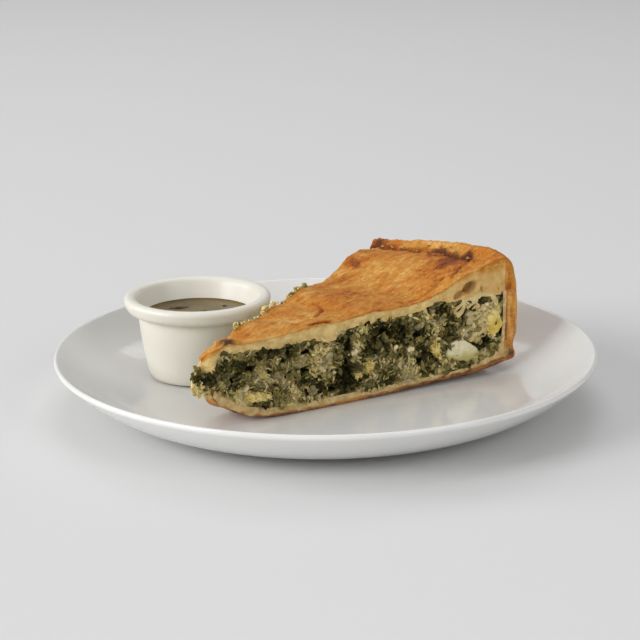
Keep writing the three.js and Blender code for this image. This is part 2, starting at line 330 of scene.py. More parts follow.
CUT_NEAR, CUT_FAR = 31.0, 59.0
TIP = (-58.6, -66.0)
TIP_WIDTH = 4.0
CORNER_INSET, CORNER_SPAN = 2.0, 4.0
SIDE_START, SIDE_DEPTH, SIDE_RADIUS = 164.0, 9.0, 175.0
ARC = math.radians(CUT_FAR - CUT_NEAR) * SIDE_RADIUS
POINT_TAPER = 8.0
SEAM = 45.8
GAP = 0.3


def place(s, v, z):
    """Out from the point of the slice by s, from the near cut (0) to the far one (1) by v."""
    s = s + POINT_TAPER * v * (1 - smooth(2, 20, s))
    azimuth = np.radians(mix(CUT_NEAR, CUT_FAR, v))
    across = math.radians((CUT_NEAR + CUT_FAR) / 2 + 90)
    x = TIP[0] + s * np.cos(azimuth) + TIP_WIDTH * v * math.cos(across)
    y = TIP[1] + s * np.sin(azimuth) + TIP_WIDTH * v * math.sin(across)
    return np.stack([x, y, z + 0 * x], -1)


def outward(azimuth):
    a = math.radians(azimuth)
    return np.array([math.cos(a), math.sin(a), 0.0])


NEAR_FACE, FAR_FACE = outward(CUT_NEAR - 90), outward(CUT_FAR + 90)


def corner_inset(v):
    """How far the side crust stands back from its full radius near a cut."""

    def bend(distance):
        return 1 - np.sqrt(1 - (1 - np.clip(distance / CORNER_SPAN, 0, 1)) ** 2)

    return CORNER_INSET * (bend(v * ARC) + bend((1 - v) * ARC))


def side_share(s):
    return np.clip((s - SIDE_START) / SIDE_DEPTH, 0, 1)


def shell(nu, nv, nw):
    """The i, j, k of each point on the skin of a box of cells, its faces, and the point numbers."""
    i, j, k = np.indices((nu + 1, nv + 1, nw + 1)).reshape(3, -1)
    skin = (i % nu == 0) | (j % nv == 0) | (k % nw == 0)
    number = np.full((nu + 1, nv + 1, nw + 1), -1)
    number.reshape(-1)[skin] = np.arange(skin.sum())

    sides = (
        (number[:, :, nw], False), (number[:, :, 0], True), (number[:, 0, :], False),
        (number[:, nv, :], True), (number[nu], False), (number[0], True),
    )
    faces = np.concatenate([grid_quads(grid, turn) for grid, turn in sides])
    return i[skin], j[skin], k[skin], faces, number


def graded(count, ends=0.35):
    """0 to 1 in steps that are finer near both ends."""
    t = np.linspace(0, 1, count + 1)
    return mix(t, 0.5 - 0.5 * np.cos(math.pi * t), ends)


# ------------------------------------------------------------------ crust lines

CRUST_OUTER = [
    (10.5, 20.4), (14, 16.7), (19, 13.3), (26, 10.0), (34, 7.7), (45, 6.4), (60, 6.15), (92, 6.25),
    (131, 7.5), (148, 8.2), (160, 9.8), (167, 11.0), (173.6, 11.8), (174.6, 14.2), (173.6, 18.6), (175, 24),
    (175.8, 32), (175.8, 40), (175.2, SEAM),
]
CRUST_INNER = [
    (12, 23.6), (15, 22.4), (20.5, 17.6), (27, 14), (35, 11.9), (45, 10.4), (60, 10.2), (92, 10.6),
    (131, 10.9), (146, 12), (155, 14), (161, 17), (163.4, 18.6), (164.6, 21), (165.3, 23.5), (165.8, 26.5),
    (166.3, 32), (166.3, 40), (166.2, SEAM),
]
lid_near = heights([
    (3.5, 36.9), (5, 39.2), (8, 40.5), (13, 41.8), (21, 43.6), (30, 42.8), (45, 43), (60, 44.3), (82, 45.5),
    (108, 46.9), (121, 47.8), (131, 50.8), (142, 55.2), (152, 58.2), (161, 60), (166, 61.2), (170, 60),
    (173.4, 55.2), (175.2, 48),
])
lid_far = heights([
    (3.5, 35.8), (5.5, 37.3), (20, 39), (34, 40.2), (45, 43.2), (57, 42.8), (70, 45), (79, 44.6), (90, 47.4),
    (98, 47.8), (108, 46.4), (120, 47), (130, 48.8), (136, 51.2), (144, 53.2), (152, 53.7), (160, 52.5),
    (163.5, 52.8), (167, 55.2), (170.5, 55), (173.6, 52), (175.2, 48),
])
lid_under = heights([
    (3.5, 34.4), (5, 32.8), (7, 32.2), (12.6, 32), (14.8, 38), (20, 39.3), (26, 39), (33, 39.4), (45, 37.4),
    (58, 38.3), (71, 36.4), (80, 40.6), (95, 41.6), (108, 42.2), (120, 43.6), (131, 45.6), (142, 45.4),
    (152, 44.9), (165, 44.4),
])
RIM_CREST = 3.8
# Along the slice: where the lid starts, where its cells change size, where it meets the side crust.
LID_START, LID_MIDDLE, LID_SIDE = 4.6, 118.0, 165.2
LID_REACH, SIDE_STATIONS, CRUST_LAYERS = 10.0, 34, 18
# How far out the crumb of the side crust ends and its browned layers start.
WALL_CRUMB_END = 168.4
# The darker heel, where the base turns up: its middle and half its size as s, z.
HEEL_MIDDLE, HEEL_HALF = (172.0, 14.0), (6.0, 3.5)

# The lid's folds and marks are given by s and by azimuth round the slice's point.
RIM_FOLD = [
    (158, 61), (165.5, 58.3), (163.9, 56.4), (163.2, 53.9), (161.9, 51.3), (160.4, 49.3), (162, 47.5),
    (161.9, 45.3), (162.4, 43.2), (160.7, 40.8), (159.5, 39.2), (162.3, 37.6), (160, 36.2), (155, 34.9),
    (148.5, 33.9), (143, 32.9), (139.5, 33.6), (135, 34.9),
]
LOOSE_FOLD = [(79, 53.7), (81, 50.2), (82, 47.4), (80, 45), (78, 41.9), (72, 39.2)]
EDGE_FOLD = [(57, 36.5), (59.5, 34.4), (64.5, 32.9), (74, 32.3)]
REAR_CREASE = [(112, 33.2), (121, 32.6), (131, 33.4), (140, 34.6)]
# Spots on the lid: s, azimuth, half length, half width, and how much browner a brown one is.
BURNT_LUMP, BURNT_TOP = (23.0, 45.6, 4.2, 4.6), (20.6, 41.6, 3.6, 4.4)
LUMP_RISE = 2.3
BROWN_SPOTS = [
    (120, 55.2, 9, 5, 0.34), (137, 56, 8, 6, 0.40), (152, 57.5, 6, 5, 0.30), (150, 38.5, 10, 4, 0.16),
    (100, 50, 12, 8, 0.14), (68, 36, 12, 4, 0.10),
]


def flat_spot(s, azimuth):
    """Where a place on the lid lies, seen from above with the slice's middle along X."""
    a = np.radians(np.asarray(azimuth, float) - 45)
    return np.stack([s * np.cos(a), s * np.sin(a)], -1)


def line_distance(points, line):
    """Signed distance to a line of (s, azimuth) knots: positive on its right."""
    knots = flat_spot(*np.array(rounded(line, 5)).T)
    best = np.full(len(points), 1e9)
    side = np.ones(len(points))
    for a, b in zip(knots[:-1], knots[1:]):
        t = np.clip((points - a) @ (b - a) / ((b - a) @ (b - a)), 0, 1)
        gap = points - a - t[:, None] * (b - a)
        distance = np.linalg.norm(gap, axis=1)
        closer = distance < best
        turn = (b - a)[0] * gap[:, 1] - (b - a)[1] * gap[:, 0]
        best = np.where(closer, distance, best)
        side = np.where(closer, -np.sign(turn), side)
    return best * np.where(side == 0, 1, side)


def plain_lid_top(s, v):
    rim = smooth(158, 167.5, s) * (1 - smooth(170.5, 175, s))
    rim_lift = rim * smooth(0, 0.15, v) * RIM_CREST * (1 - v * v)
    crown = 0.9 * np.sin(math.pi * v) * smooth(5, 40, s) * (1 - smooth(150, 165, s))
    return mix(lid_near(s), lid_far(s), v) + rim_lift + crown


def lid_bottom(s, v):
    lean = np.clip(lid_near(s) - lid_far(s), 0, 4) * (1 - smooth(150, 165, s))
    strip = np.column_stack([s, 40 * v + 0 * s, 0 * s])
    torn = 0.9 * grain(strip, 3.6, 60) + 0.5 * grain(strip, 1.4, 61)
    torn *= smooth(15, 22, s) * (1 - smooth(150, 160, s))
    return np.where(s > LID_SIDE, SEAM, lid_under(s) - lean * v + torn)


def lid_surface(s, v):
    """Height of the lid with its folds, its browning from 0 to 1 with painted shade in its troughs, and its
    dark scorching, partly painted shade along the rim's fold.
    """
    s, v = np.asarray(s, float), np.asarray(v, float)
    azimuth = mix(CUT_NEAR, CUT_FAR, v)
    spot = flat_spot(s, azimuth)
    here = np.column_stack([spot, 0 * s])
    wander = 1.3 * wobble(here, 7, 3, 4) + 0.5 * wobble(here, 2.2, 5, 6)
    inside = smooth(0, 0.02, v) * smooth(0, 0.02, 1 - v)
    top = plain_lid_top(s, v)

    rear = smooth(138, 156, s)
    jagged = (0.8 * rear)[:, None] * wobble(here, 3.4, 31, 32)
    fold = -line_distance(spot + 0.6 * wander + jagged, RIM_FOLD)
    lip = smooth(-0.4, 0.5, fold) * np.exp(-np.maximum(fold, 0) / 3.2)
    trough = np.exp(-(((fold + 0.9) / 1.1) ** 2))
    rim_zone = smooth(0.02, 0.10, v)
    ragged_lip = 1 + 0.55 * grain(here, 3.6, 7) + 0.3 * grain(here, 1.7, 33)
    top += ((0.9 + 0.4 * rear) * lip * ragged_lip - 1.0 * trough) * rim_zone
    crumple = rear * rim_zone * np.exp(-(((fold - 0.8) / 2.6) ** 2))
    top += crumple * (0.6 * grain(here, 2.4, 34) + 0.4 * grain(here, 1.2, 35))
    outside_fold = smooth(0.0, 1.5, fold)

    loose = line_distance(spot + 0.7 * wander, LOOSE_FOLD)
    loose_lip = smooth(-0.3, 0.4, loose) * np.exp(-np.maximum(loose, 0) / 3.5) * (np.abs(loose) < 14)
    loose_trough = np.exp(-(((loose + 0.8) / 0.8) ** 2))
    edge = line_distance(spot + 0.3 * wander, EDGE_FOLD)
    edge_trough = np.exp(-((edge / 1.1) ** 2)) * smooth(60, 64, s) * (1 - smooth(70, 75, s))
    crease = line_distance(spot + 0.5 * wander, REAR_CREASE)
    crease_trough = np.exp(-((crease / 0.8) ** 2))
    top += inside * (0.9 * loose_lip - 0.5 * loose_trough - 1.6 * edge_trough - 0.5 * crease_trough)

    warped = here + 2.5 * wobble(here, 11, 8, 9, None)
    stretched = warped * np.array([0.5, 1.0, 1.0])
    wrinkle = 1 - np.abs(grain(stretched, 4.2, 11)) * 2.2
    fine_wrinkle = 1 - np.abs(grain(stretched + 40, 1.8, 12)) * 2.2
    fibre = grain(warped * np.array([0.28, 1.0, 1.0]), 1.3, 19)
    wrinkled = 0.45 + 0.55 * smooth(-0.3, 0.5, grain(here, 24, 13))
    blister = np.clip(1 - (cells(here, 2.3, 14) / 0.5) ** 2, 0, 1)
    blistered = smooth(-0.1, 0.6, grain(here + 9, 18, 15))
    big_blister = np.clip(1 - (cells(here, 9.0, 16) / 0.42) ** 2, 0, 1)
    calm = smooth(3, 12, s)
    top += calm * (
        0.42 * np.clip(wrinkle, 0, 1) * wrinkled
        + 0.24 * np.clip(fine_wrinkle, 0, 1)
        + 0.13 * fibre
        + 0.26 * blister * blistered
        + 0.40 * big_blister * inside
        + 0.60 * grain(here, 13, 17)
        + 0.30 * grain(here, 5.5, 27)
        + 0.10 * grain(here, 0.9, 18)
    )

    bake = 0.43 - 0.09 * (1 - smooth(20, 75, s)) * smooth(6, 16, s)
    bake += 0.12 * grain(here, 17, 20) + 0.10 * grain(here, 5, 21) + 0.07 * grain(here, 1.6, 22)
    bake += 0.07 * np.clip(wrinkle, 0, 1) * wrinkled + 0.08 * blister * blistered + 0.08 * big_blister
    bake += 0.08 * fibre - 0.07 * np.clip(fine_wrinkle, 0, 1)
    # The troughs of the folds and creases are painted darker: painted shade in them.
    bake += 0.34 * trough * rim_zone + 0.75 * edge_trough + 0.16 * crease_trough + 0.22 * loose_trough
    bake -= 0.13 * outside_fold * smooth(0.1, 0.4, v) * rear

    def spot_reach(spot_s, spot_azimuth, half_length, half_width):
        gap = (spot - flat_spot(spot_s, spot_azimuth)) / np.array([half_length, half_width])
        return np.linalg.norm(gap, axis=1)

    uneven = 0.35 * grain(here, 2.6, 23) + 0.2 * grain(here, 7, 29)
    top += LUMP_RISE * (1 - smooth(0.6, 1.15, spot_reach(*BURNT_LUMP) + uneven))
    scorch = 0.95 - 0.95 * smooth(0.3, 1.3, spot_reach(*BURNT_TOP) + 0.5 * grain(here, 1.8, 23))
    for *where, strength in BROWN_SPOTS:
        bake += strength * (1 - smooth(0.3, 1.3, spot_reach(*where) + uneven))
    # A dark, broken line along the rim's fold: partly scorched pastry, partly painted shade under the fold's
    # overhanging lip.
    line = np.exp(-(((fold + 0.2) / mix(0.6, 1.1, rear)) ** 2)) * rim_zone
    broken = mix(0.05, 0.3, rear) + 0.65 * smooth(-0.15, 0.35, grain(here, 4, 24))
    scorch = np.maximum(scorch, np.clip(0.85 * line * broken, 0, 0.75))
    bake += 0.42 * np.exp(-(((fold - 1.5) / 3.0) ** 2)) * smooth(0.74, 0.88, v) * rear
    inside_fold = smooth(0.6, -0.6, fold) * np.exp(-((np.maximum(-fold, 0) / 15) ** 4))
    hollow_zone = smooth(134, 148, s) * smooth(0.05, 0.16, v) * (1 - smooth(0.46, 0.62, v))
    uneven = 0.16 * grain(here, 4, 36) + 0.10 * grain(here, 1.6, 37)
    bake += inside_fold * hollow_zone * (0.19 + 0.14 * smooth(146, 158, s) + uneven)
    return top, np.clip(bake, 0, 1), np.clip(scorch, 0, 1)


# ------------------------------------------------------------------ materials


def feed(tree, socket, value):
    """Join a socket to another one, or give it a fixed value."""
    if isinstance(value, bpy.types.NodeSocket):
        tree.links.new(value, socket)
    else:
        socket.default_value = value


def add_node(tree, kind, inputs=None, **settings):
    made = tree.nodes.new(kind)
    for key, value in settings.items():
        setattr(made, key, value)
    for key, value in (inputs or {}).items():
        feed(tree, made.inputs[key], value)
    return made


def dress(tree, shader, **looks):
    """Feed the shader's own sockets, named with underscores for spaces."""
    for key, value in looks.items():
        feed(tree, shader.inputs[key.replace("_", " ")], value)


def new_material(name, **values):
    made = bpy.data.materials.new(name)
    made.use_nodes = True
    shader = made.node_tree.nodes["Principled BSDF"]
    dress(made.node_tree, shader, **values)
    return made, made.node_tree, shader


def ramp(tree, factor, stops):
    """A colour ramp of (place, colour) stops."""
    made = add_node(tree, "ShaderNodeValToRGB", {"Fac": factor})
    elements = made.color_ramp.elements
    while len(elements) < len(stops):
        elements.new(0.5)
    for element, (position, colour) in zip(elements, stops):
        element.position = position
        element.color = (*colour, 1)
    return made.outputs["Color"]


def attribute(tree, name):
    return add_node(tree, "ShaderNodeAttribute", attribute_name=name).outputs["Fac"]


def math_node(tree, operation, a, b, clamp=False):
    return add_node(tree, "ShaderNodeMath", {0: a, 1: b}, operation=operation, use_clamp=clamp).outputs[0]


def added(tree, a, b, clamp=False):
    return math_node(tree, "ADD", a, b, clamp)


def scaled(tree, value, amount):
    return math_node(tree, "MULTIPLY", value, amount)


def off_middle(tree, value, amount):
    """How far a value lies from 0.5, times an amount."""
    return scaled(tree, math_node(tree, "SUBTRACT", value, 0.5), amount)


def shade(colour, amount):
    return tuple(amount * c for c in colour)


def blend_colours(tree, factor, a, b, kind="MIX"):
    a, b = (c if isinstance(c, bpy.types.NodeSocket) else (*c, 1) for c in (a, b))
    inputs = {0: factor, 6: a, 7: b}
    return add_node(tree, "ShaderNodeMix", inputs, data_type="RGBA", blend_type=kind).outputs[2]


def food_grain(tree, mottle_size, speckle_size, contrast):
    """The shared grain's outputs at these sizes in metres."""
    sizes = {"Mottle Size": mottle_size, "Speckle Size": speckle_size, "Contrast": contrast}
    return add_node(tree, "ShaderNodeGroup", sizes, node_tree=GROUPS["food"]).outputs


def new_group(name, inputs, outputs):
    """A shader node group with float inputs and outputs, and its own ends."""
    group = bpy.data.node_groups.new(name, "ShaderNodeTree")
    for key, default in inputs:
        group.interface.new_socket(key, in_out="INPUT", socket_type="NodeSocketFloat").default_value = default
    for key in outputs:
        group.interface.new_socket(key, in_out="OUTPUT", socket_type="NodeSocketFloat")
    return group, add_node(group, "NodeGroupInput"), add_node(group, "NodeGroupOutput")


def food_grain_group():
    """Uneven mottle, fine speckle and a height, on the piece's own coordinates."""
    group, given, out = new_group(
        "Food Grain",
        [("Mottle Size", 0.006), ("Speckle Size", 0.0008), ("Contrast", 1.0)],
        ("Mottle", "Speckle", "Height"),
    )
    where = add_node(group, "ShaderNodeTexCoord").outputs["Object"]

    def noise(size, detail, roughness, distortion=0.0):
        looks = {"Vector": where, "Scale": math_node(group, "DIVIDE", 1.0, size), "Detail": detail}
        looks |= {"Roughness": roughness, "Distortion": distortion}
        return add_node(group, "ShaderNodeTexNoise", looks).outputs["Fac"]

    mottle = noise(given.outputs["Mottle Size"], 4.0, 0.6, 0.4)
    speckle = noise(given.outputs["Speckle Size"], 3.0, 0.65)
    for key, value in (("Mottle", mottle), ("Speckle", speckle)):
        spread = off_middle(group, value, given.outputs["Contrast"])
        group.links.new(added(group, spread, 0.5, True), out.inputs[key])
    height = added(group, scaled(group, mottle, 0.5), scaled(group, speckle, 0.5))
    group.links.new(height, out.inputs["Height"])
    return group


def fibre_group():
    """Fine fibres of dough that run along the slice."""
    group, given, out = new_group("Dough Fibre", [("Size", 0.0012), ("Stretch", 3.5)], ("Fibre",))
    where = add_node(group, "ShaderNodeTexCoord").outputs["Object"]
    longer = add_node(group, "ShaderNodeCombineXYZ", {"X": given.outputs["Stretch"], "Y": 1.0, "Z": 1.0})
    along = {"Vector": where, "Rotation": (0, 0, math.radians(45)), "Scale": longer.outputs[0]}
    stretched = add_node(group, "ShaderNodeMapping", along, vector_type="TEXTURE").outputs[0]
    looks = {"Vector": stretched, "Scale": math_node(group, "DIVIDE", 1.0, given.outputs["Size"])}
    looks |= {"Detail": 3.0, "Roughness": 0.6, "Distortion": 0.3}
    group.links.new(add_node(group, "ShaderNodeTexNoise", looks).outputs["Fac"], out.inputs["Fibre"])
    return group


def bump(tree, height, strength, distance):
    inputs = {"Height": height, "Strength": strength, "Distance": distance}
    return add_node(tree, "ShaderNodeBump", inputs).outputs["Normal"]


def glaze_material(name, colour, thin, roughness, coat_roughness):
    """Fired white glaze with a faint wave and pinholes."""
    made, tree, shader = new_material(
        name, Specular_IOR_Level=0.5, Coat_Weight=0.3, Coat_Roughness=coat_roughness
    )
    grains = food_grain(tree, 0.05, 0.004, 1.6)
    dress(
        tree, shader, Base_Color=blend_colours(tree, grains["Mottle"], shade(colour, thin), colour),
        Roughness=added(tree, scaled(tree, grains["Speckle"], 0.05), roughness),
        Normal=bump(tree, grains["Height"], 0.10, 0.002),
    )
    return made


def dressing_material(colour):
    made, tree, shader = new_material("Oil dressing", Roughness=0.10, IOR=1.45, Specular_IOR_Level=0.22)
    grains = food_grain(tree, 0.012, 0.0015, 1.8)
    cloudy = blend_colours(tree, grains["Mottle"], shade(colour, 0.6), shade(colour, 1.25))
    dress(tree, shader, Base_Color=cloudy, Normal=bump(tree, grains["Mottle"], 0.05, 0.002))
    return made


def pastry_material(name, bake_stops, crumb_dark, crumb_light):
    """Baked dough. Attributes: its browning, with painted shade in folds and pits; its scorching, with
    painted shade along the rim's fold; its crumb (pale inside); and painted shade in the hollows of the
    crumb.
    """
    made, tree, shader = new_material(
        name, Specular_IOR_Level=0.12, Subsurface_Weight=0.08, Subsurface_Scale=0.0015,
        Subsurface_Radius=(1.0, 0.7, 0.45), Coat_Roughness=0.35,
    )
    grains = food_grain(tree, 0.004, 0.0007, 2.3)
    fibres = {"Size": 0.0011, "Stretch": 3.5}
    fibres = add_node(tree, "ShaderNodeGroup", fibres, node_tree=GROUPS["fibre"]).outputs["Fibre"]
    mottle, scorch = grains["Mottle"], attribute(tree, "scorch")
    grained = added(tree, off_middle(tree, grains["Speckle"], 0.20), off_middle(tree, mottle, 0.20))
    bake = added(tree, attribute(tree, "bake"), added(tree, off_middle(tree, fibres, 0.55), grained), True)
    # Scorching darkens the skin, and stands for painted shade along the rim's fold.
    skin = blend_colours(tree, scorch, ramp(tree, bake, bake_stops), SCORCH_AND_SHADE)
    crumb = blend_colours(tree, mottle, crumb_dark, crumb_light)
    # The crumb's hollows are painted dark brown: painted shade.
    crumb = blend_colours(tree, attribute(tree, "pocket"), crumb, POCKET_SHADE)
    matt = added(tree, scaled(tree, mottle, 0.2), 0.45)
    height = added(tree, grains["Height"], scaled(tree, fibres, 0.9))
    dress(
        tree, shader, Base_Color=blend_colours(tree, attribute(tree, "crumb"), skin, crumb),
        Roughness=added(tree, matt, scaled(tree, scorch, -0.2)), Coat_Weight=scaled(tree, scorch, 0.06),
        Normal=bump(tree, height, 0.7, 0.0013),
    )
    return made


def spinach_material(name, stops, roughness, shift=0.0, shine=0.10, hues=1.0):
    """Moist chopped greens, coloured piece by piece by the tint attribute."""
    made, tree, shader = new_material(
        name, Specular_IOR_Level=shine, Subsurface_Weight=0.06, Subsurface_Scale=0.001
    )
    grains = food_grain(tree, 0.0024, 0.0006, 1.8)
    drift = added(tree, off_middle(tree, grains["Mottle"], 0.45), shift)
    tint = added(tree, attribute(tree, "tint"), drift, True)
    hue = food_grain(tree, 0.0019, 0.0005, 2.8)["Mottle"]
    dress(
        tree, shader,
        Base_Color=blend_colours(tree, hues, ramp(tree, tint, stops), ramp(tree, hue, HUE_STOPS), "MULTIPLY"),
        Roughness=added(tree, scaled(tree, grains["Speckle"], 0.3), roughness),
        Normal=bump(tree, grains["Height"], 0.7, 0.0008),
    )
    return made


def egg_material(name, dark, light, other, roughness):
    """Boiled egg. Attribute: tint, how much of the other colour there is."""
    made, tree, shader = new_material(
        name, Specular_IOR_Level=0.25, Subsurface_Weight=0.15, Subsurface_Scale=0.0015,
        Subsurface_Radius=(1.0, 0.8, 0.5),
    )
    grains = food_grain(tree, 0.004, 0.0007, 1.6)
    plain = blend_colours(tree, grains["Mottle"], dark, light)
    dress(
        tree, shader, Base_Color=blend_colours(tree, attribute(tree, "tint"), plain, other),
        Roughness=added(tree, scaled(tree, grains["Speckle"], 0.2), roughness),
        Normal=bump(tree, grains["Height"], 0.4, 0.0008),
    )
    return made


def backdrop_material(colour):
    made, tree, shader = new_material("Matte backdrop", Specular_IOR_Level=0.3)
    grains = food_grain(tree, 0.4, 0.003, 1.0)
    dress(
        tree, shader, Base_Color=blend_colours(tree, grains["Mottle"], shade(colour, 0.985), colour),
        Roughness=added(tree, scaled(tree, grains["Speckle"], 0.1), 0.5),
    )
    return made


# Colour of scorched pastry, also used as painted shade along the rim's fold.
SCORCH_AND_SHADE = (0.066, 0.024, 0.009)
# Painted shade in the hollows of the cut crumb.
POCKET_SHADE = (0.15, 0.066, 0.012)
LID_STOPS = [
    (0.0, (0.78, 0.53, 0.225)), (0.22, (0.67, 0.355, 0.092)), (0.42, (0.58, 0.242, 0.035)),
    (0.62, (0.49, 0.155, 0.018)), (0.80, (0.32, 0.082, 0.012)), (1.0, (0.13, 0.036, 0.012)),
]
BASE_STOPS = [
    (0.0, (0.82, 0.58, 0.26)), (0.22, (0.75, 0.40, 0.108)), (0.42, (0.66, 0.285, 0.054)),
    (0.62, (0.46, 0.20, 0.056)), (0.80, (0.26, 0.110, 0.038)), (1.0, (0.11, 0.05, 0.020)),
]
LEAF_STOPS = [
    (0.0, (0.012, 0.010, 0.002)), (0.26, (0.046, 0.040, 0.010)), (0.50, (0.175, 0.146, 0.050)),
    (0.75, (0.40, 0.325, 0.125)), (1.0, (0.66, 0.54, 0.25)),
]
MASH_STOPS = [
    (0.0, (0.20, 0.15, 0.050)), (0.35, (0.40, 0.31, 0.115)), (0.7, (0.66, 0.53, 0.23)),
    (1.0, (0.90, 0.75, 0.42)),
]
ONION_STOPS = [
    (0.0, (0.10, 0.082, 0.032)), (0.35, (0.27, 0.22, 0.105)), (0.7, (0.54, 0.44, 0.235)),
    (1.0, (0.88, 0.74, 0.45)),
]
CORE_STOPS = [
    (0.0, (0.005, 0.005, 0.001)), (0.28, (0.030, 0.026, 0.007)), (0.52, (0.165, 0.137, 0.048)),
    (0.76, (0.39, 0.32, 0.13)), (1.0, (0.60, 0.49, 0.23)),
]
# Dark and light of the crumb, and dark, light and other colour of the egg.
LID_CRUMB, BASE_CRUMB = ((0.58, 0.38, 0.118), (0.93, 0.70, 0.315)), ((0.42, 0.285, 0.105), (0.88, 0.65, 0.32))
WHITE_COLOURS = (0.60, 0.525, 0.30), (0.97, 0.91, 0.64), (0.50, 0.42, 0.14)
YOLK_COLOURS = (0.56, 0.38, 0.055), (0.92, 0.70, 0.17), (0.86, 0.72, 0.34)
WEB_STOPS = [(0.0, (0.50, 0.36, 0.14)), (1.0, (0.86, 0.68, 0.34))]
YELLOW_STOPS = [(0.0, (0.40, 0.29, 0.085)), (1.0, (0.88, 0.73, 0.32))]
HERB_STOPS = [(0.0, (0.02, 0.012, 0.006)), (1.0, (0.12, 0.07, 0.03))]
# What the colours of greens and crumbs are multiplied by, from yellower to bluer.
HUE_STOPS = [(0.15, (1.06, 0.97, 0.42)), (0.5, (1.0, 1.0, 1.0)), (0.85, (0.96, 1.01, 1.38))]
GROUPS = {}
FINISH = {}

# ------------------------------------------------------------------ settings


class PlateSettings(bpy.types.PropertyGroup):
    radius: FloatProperty(
        name="Radius", description="Outer radius of the plate", default=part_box("plate")[1].x,
        subtype="DISTANCE", unit="LENGTH",
    )
    rim_height: FloatProperty(
        name="Rim Height", description="Height of the plate's lip", default=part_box("plate")[1].z,
        subtype="DISTANCE", unit="LENGTH",
    )
    glaze: FloatVectorProperty(
        name="Glaze", description="Colour of the plate's glaze", default=(0.80, 0.795, 0.775),
        size=3, subtype="COLOR",
    )


class PotSettings(bpy.types.PropertyGroup):
    height: FloatProperty(
        name="Height", description="Height of the ramekin", default=0.0392, subtype="DISTANCE", unit="LENGTH"
    )
    level: FloatProperty(
        name="Dressing Level", description="Height of the dressing above the ramekin's foot", default=0.0299,
        subtype="DISTANCE", unit="LENGTH",
    )
    glaze: FloatVectorProperty(
        name="Glaze", description="Colour of the ramekin's glaze", default=(0.78, 0.75, 0.66),
        size=3, subtype="COLOR",
    )
    dressing: FloatVectorProperty(
        name="Dressing", description="Colour of the oil dressing", default=(0.158, 0.104, 0.026),
        size=3, subtype="COLOR",
    )


class CrustSettings(bpy.types.PropertyGroup):
    lid_cells: IntProperty(name="Lid Cells", description="Cells of the lid, lengthwise", default=260, min=120)
    across_cells: IntProperty(name="Cells Across", description="Cells from cut to cut", default=130, min=20)
    flakes: IntProperty(name="Flakes", description="Loose flakes on the rim's folds", default=34, min=0)


class FillingSettings(bpy.types.PropertyGroup):
    leaf_density: FloatProperty(
        name="Leaf Density", description="Cut leaves for each square metre", default=300000.0, min=0.0
    )
    shred_density: FloatProperty(
        name="Shred Density", description="Curled shreds for each square metre", default=210000.0, min=0.0
    )
    mash_density: FloatProperty(
        name="Mash Density", description="Soft bits for each square metre", default=300000.0, min=0.0
    )
    seed: IntProperty(name="Seed", description="Seed of the scattered bits", default=7)


class TableSettings(bpy.types.PropertyGroup):
    cloth: FloatVectorProperty(
        name="Backdrop", description="Colour of the floor and the backdrop", default=(0.74, 0.74, 0.74),
        size=3, subtype="COLOR",
    )
    key_power: FloatProperty(
        name="Key Light", description="Power of the main light", default=63.0, unit="POWER"
    )
    side_power: FloatProperty(
        name="Side Light", description="Power of the light at the left", default=28.0, unit="POWER"
    )
    sky: FloatProperty(name="Sky", description="Strength of the light from all round", default=0.30, min=0.0)


# ------------------------------------------------------------------ plate, ramekin, dressing

WELL_RADIUS, WELL_FLOOR, WELL_RISE = 84.0, 5.8, 1.7
FOOT_INNER, FOOT_OUTER, FOOT_HEIGHT, BELLY_RISE = 66.0, 74.0, 2.2, 2.4
LIP_INNER, LIP_DROP, LIP_UNDER = 122.8, 0.5, 22.6
POT_CENTRE = (-59.9, 22.3, WELL_FLOOR + GAP)
POT_FOOT, BORE_FOOT, BORE_MOUTH = 21.4, 19.6, 28.6
BORE_BOTTOM, BORE_DEPTH = 8.0, 29.2
PLATE_SIDES, POT_SIDES = 256, 160
# Bits of herb that float on the dressing: x, y, length, heading in degrees, half width.
HERBS = [(-69.5, 33.0, 9.5, 12, 1.3), (-57.0, 27.5, 3.2, 60, 0.8), (-48.0, 36.0, 2.6, -20, 0.7)]


def plate_profile(radius, rim):
    """From the underside, over the foot ring and the belly, round the lip and down into the well."""
    ring_inside = [[FOOT_INNER - 1.4, FOOT_HEIGHT - 0.1], [FOOT_INNER - 0.5, 0.9], [FOOT_INNER + 0.7, 0.08]]
    ring_outside = [[FOOT_OUTER - 0.6, 0.1], [FOOT_OUTER + 0.5, 1.0], [FOOT_OUTER + 2, FOOT_HEIGHT]]
    profile = [[0, FOOT_HEIGHT], [30, FOOT_HEIGHT], [FOOT_INNER - 1.6, FOOT_HEIGHT], *rounded(ring_inside, 4)]
    profile += [[FOOT_INNER + 1.4, 0], [FOOT_OUTER - 1.2, 0], *rounded(ring_outside, 4)[:-1]]
    sweep = np.linspace(0, 1, 41)
    for t in sweep:
        z = FOOT_HEIGHT + (LIP_UNDER - FOOT_HEIGHT) * t**BELLY_RISE
        profile.append([mix(FOOT_OUTER + 2, radius - 0.6, t), z])
    lip = [[radius - 0.15, rim - 2.0], [radius, rim - 1.2], [radius - 0.3, rim - 0.35], [radius - 1.0, rim]]
    profile += rounded(lip + [[LIP_INNER + 0.5, rim - 0.18]], 4)
    for t in sweep[::-1]:
        rise = rim - LIP_DROP - WELL_FLOOR
        profile.append([mix(WELL_RADIUS, LIP_INNER, t), WELL_FLOOR + rise * t**WELL_RISE])
    return profile + [[60, WELL_FLOOR], [30, WELL_FLOOR], [0, WELL_FLOOR]]


def pot_bore(z):
    return float(mix(BORE_FOOT, BORE_MOUTH, np.clip((z - BORE_BOTTOM) / BORE_DEPTH, 0, 1)))


class PIE_OT_plate(bpy.types.Operator):
    """Turn the coupe plate with its rolled lip and foot ring"""

    bl_idname = "pie.plate"
    bl_label = "Plate"

    def execute(self, context):
        wanted = context.scene.pie_plate
        profile = plate_profile(wanted.radius / MM, wanted.rim_height / MM)
        plate = turned("plate_glazed", profile, PLATE_SIDES, (0, 0, 0), FINISH["plate"])
        belongs(plate, "white_glaze", "plate")
        return {"FINISHED"}


